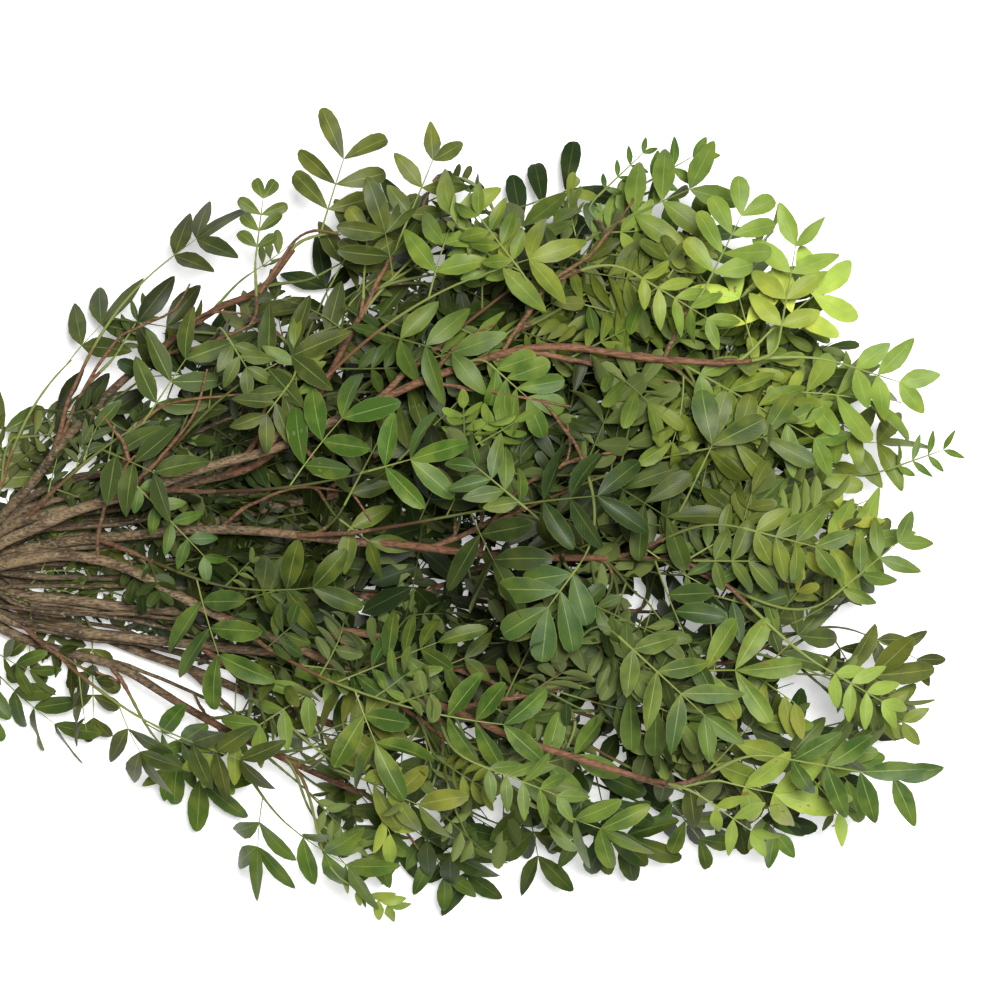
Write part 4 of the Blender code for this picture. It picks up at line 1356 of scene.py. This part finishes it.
# Elastic band
# A brown rubber band, stretched round the twelve stems to hold them as a bunch.
# Its loop follows the outer stems, with rounded edges and a flat underside on the table.
BAND_WIDTH = 9 * MM
BAND_SIDES = 16
stem_centres = [slot_centre(row, place) for row, count in enumerate(ROWS) for place in range(count)]
loop_radius = (STEM_CORNER + TOUCH_GAP) / math.cos(math.pi / BAND_SIDES)
bpy.ops.object.select_all(action="DESELECT")
bpy.ops.mesh.primitive_cylinder_add(vertices=BAND_SIDES, radius=1, depth=1, end_fill_type="NOTHING",
                                    rotation=(0, math.pi / 2, 0))
band = bpy.context.object
bpy.ops.object.transform_apply(location=True, rotation=True, scale=True)
for vertex in band.data.vertices:
    turn = math.atan2(vertex.co.z, vertex.co.y) + math.pi / BAND_SIDES
    way = Vector((0, math.cos(turn), math.sin(turn)))
    furthest = max(stem_centres, key=way.dot)
    vertex.co = furthest + way * loop_radius + Vector((math.copysign(BAND_WIDTH / 2, vertex.co.x), 0, 0))
bpy.ops.object.mode_set(mode="EDIT")
pick(lambda co: True)
bpy.ops.mesh.normals_make_consistent(inside=False)
bpy.ops.object.mode_set(mode="OBJECT")
wall = band.modifiers.new("wall", "SOLIDIFY")
wall.thickness, wall.offset, wall.use_even_offset = BAND_THICKNESS, 1, True
soft = band.modifiers.new("soft", "BEVEL")
soft.width, soft.segments, soft.limit_method, soft.angle_limit = 0.5 * MM, 3, "ANGLE", math.radians(50)
bpy.ops.object.modifier_apply(modifier="wall")
bpy.ops.object.modifier_apply(modifier="soft")
bpy.ops.object.shade_smooth_by_angle(angle=math.radians(40))
band.name = "elastic_band"
look = Look("band_rubber", 0.55)
colour = look.mixed(look.grain(130).ramp(0.3, 0.7), (0.30, 0.20, 0.11, 1), (0.44, 0.31, 0.18, 1))
band.data.materials.append(look.finish(colour, look.grain(900), 0.0002, 0.5))
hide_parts("band")
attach(band, "root")

# Floor, light and camera
# A plain white table top under soft even light, looked at from straight above.
bpy.ops.object.select_all(action="DESELECT")
bpy.ops.mesh.primitive_plane_add(size=40, location=(0.3, 0, -0.0006))
floor = bpy.context.object
floor.name = "floor"
look = Look("white_table", 0.8, 0.1)
look.shader.inputs["Base Color"].default_value = (0.93, 0.93, 0.93, 1)
look.shader.inputs["Emission Color"].default_value = (1, 1, 1, 1)
look.shader.inputs["Emission Strength"].default_value = 0.34
floor.data.materials.append(look.material)


def soft_light(name, place, size, power):
    lamp = bpy.data.lights.new(name, "AREA")
    lamp.shape = "DISK"
    lamp.size = size
    lamp.energy = power
    made = bpy.data.objects.new(name, lamp)
    made.location = place
    made.rotation_euler = (Vector((0.33, 0.03, 0.1)) - Vector(place)).to_track_quat("-Z", "Y").to_euler()
    bpy.context.scene.collection.objects.link(made)


soft_light("key", (0.55, 0.3, 2.3), 0.55, 82)
soft_light("fill", (0.9, -0.9, 1.7), 1.2, 9)
world = bpy.data.worlds.new("studio")
world.use_nodes = True
world.node_tree.nodes["Background"].inputs["Color"].default_value = (1, 1, 1, 1)
world.node_tree.nodes["Background"].inputs["Strength"].default_value = 0.08
bpy.context.scene.world = world
bpy.context.scene.view_settings.view_transform = "Standard"

lens = bpy.data.cameras.new("camera")
lens.lens = 120
camera = bpy.data.objects.new("camera", lens)
camera.location = (0.3416, 0.0448, 0.1 + 1.867)
bpy.context.scene.collection.objects.link(camera)
bpy.context.scene.camera = camera
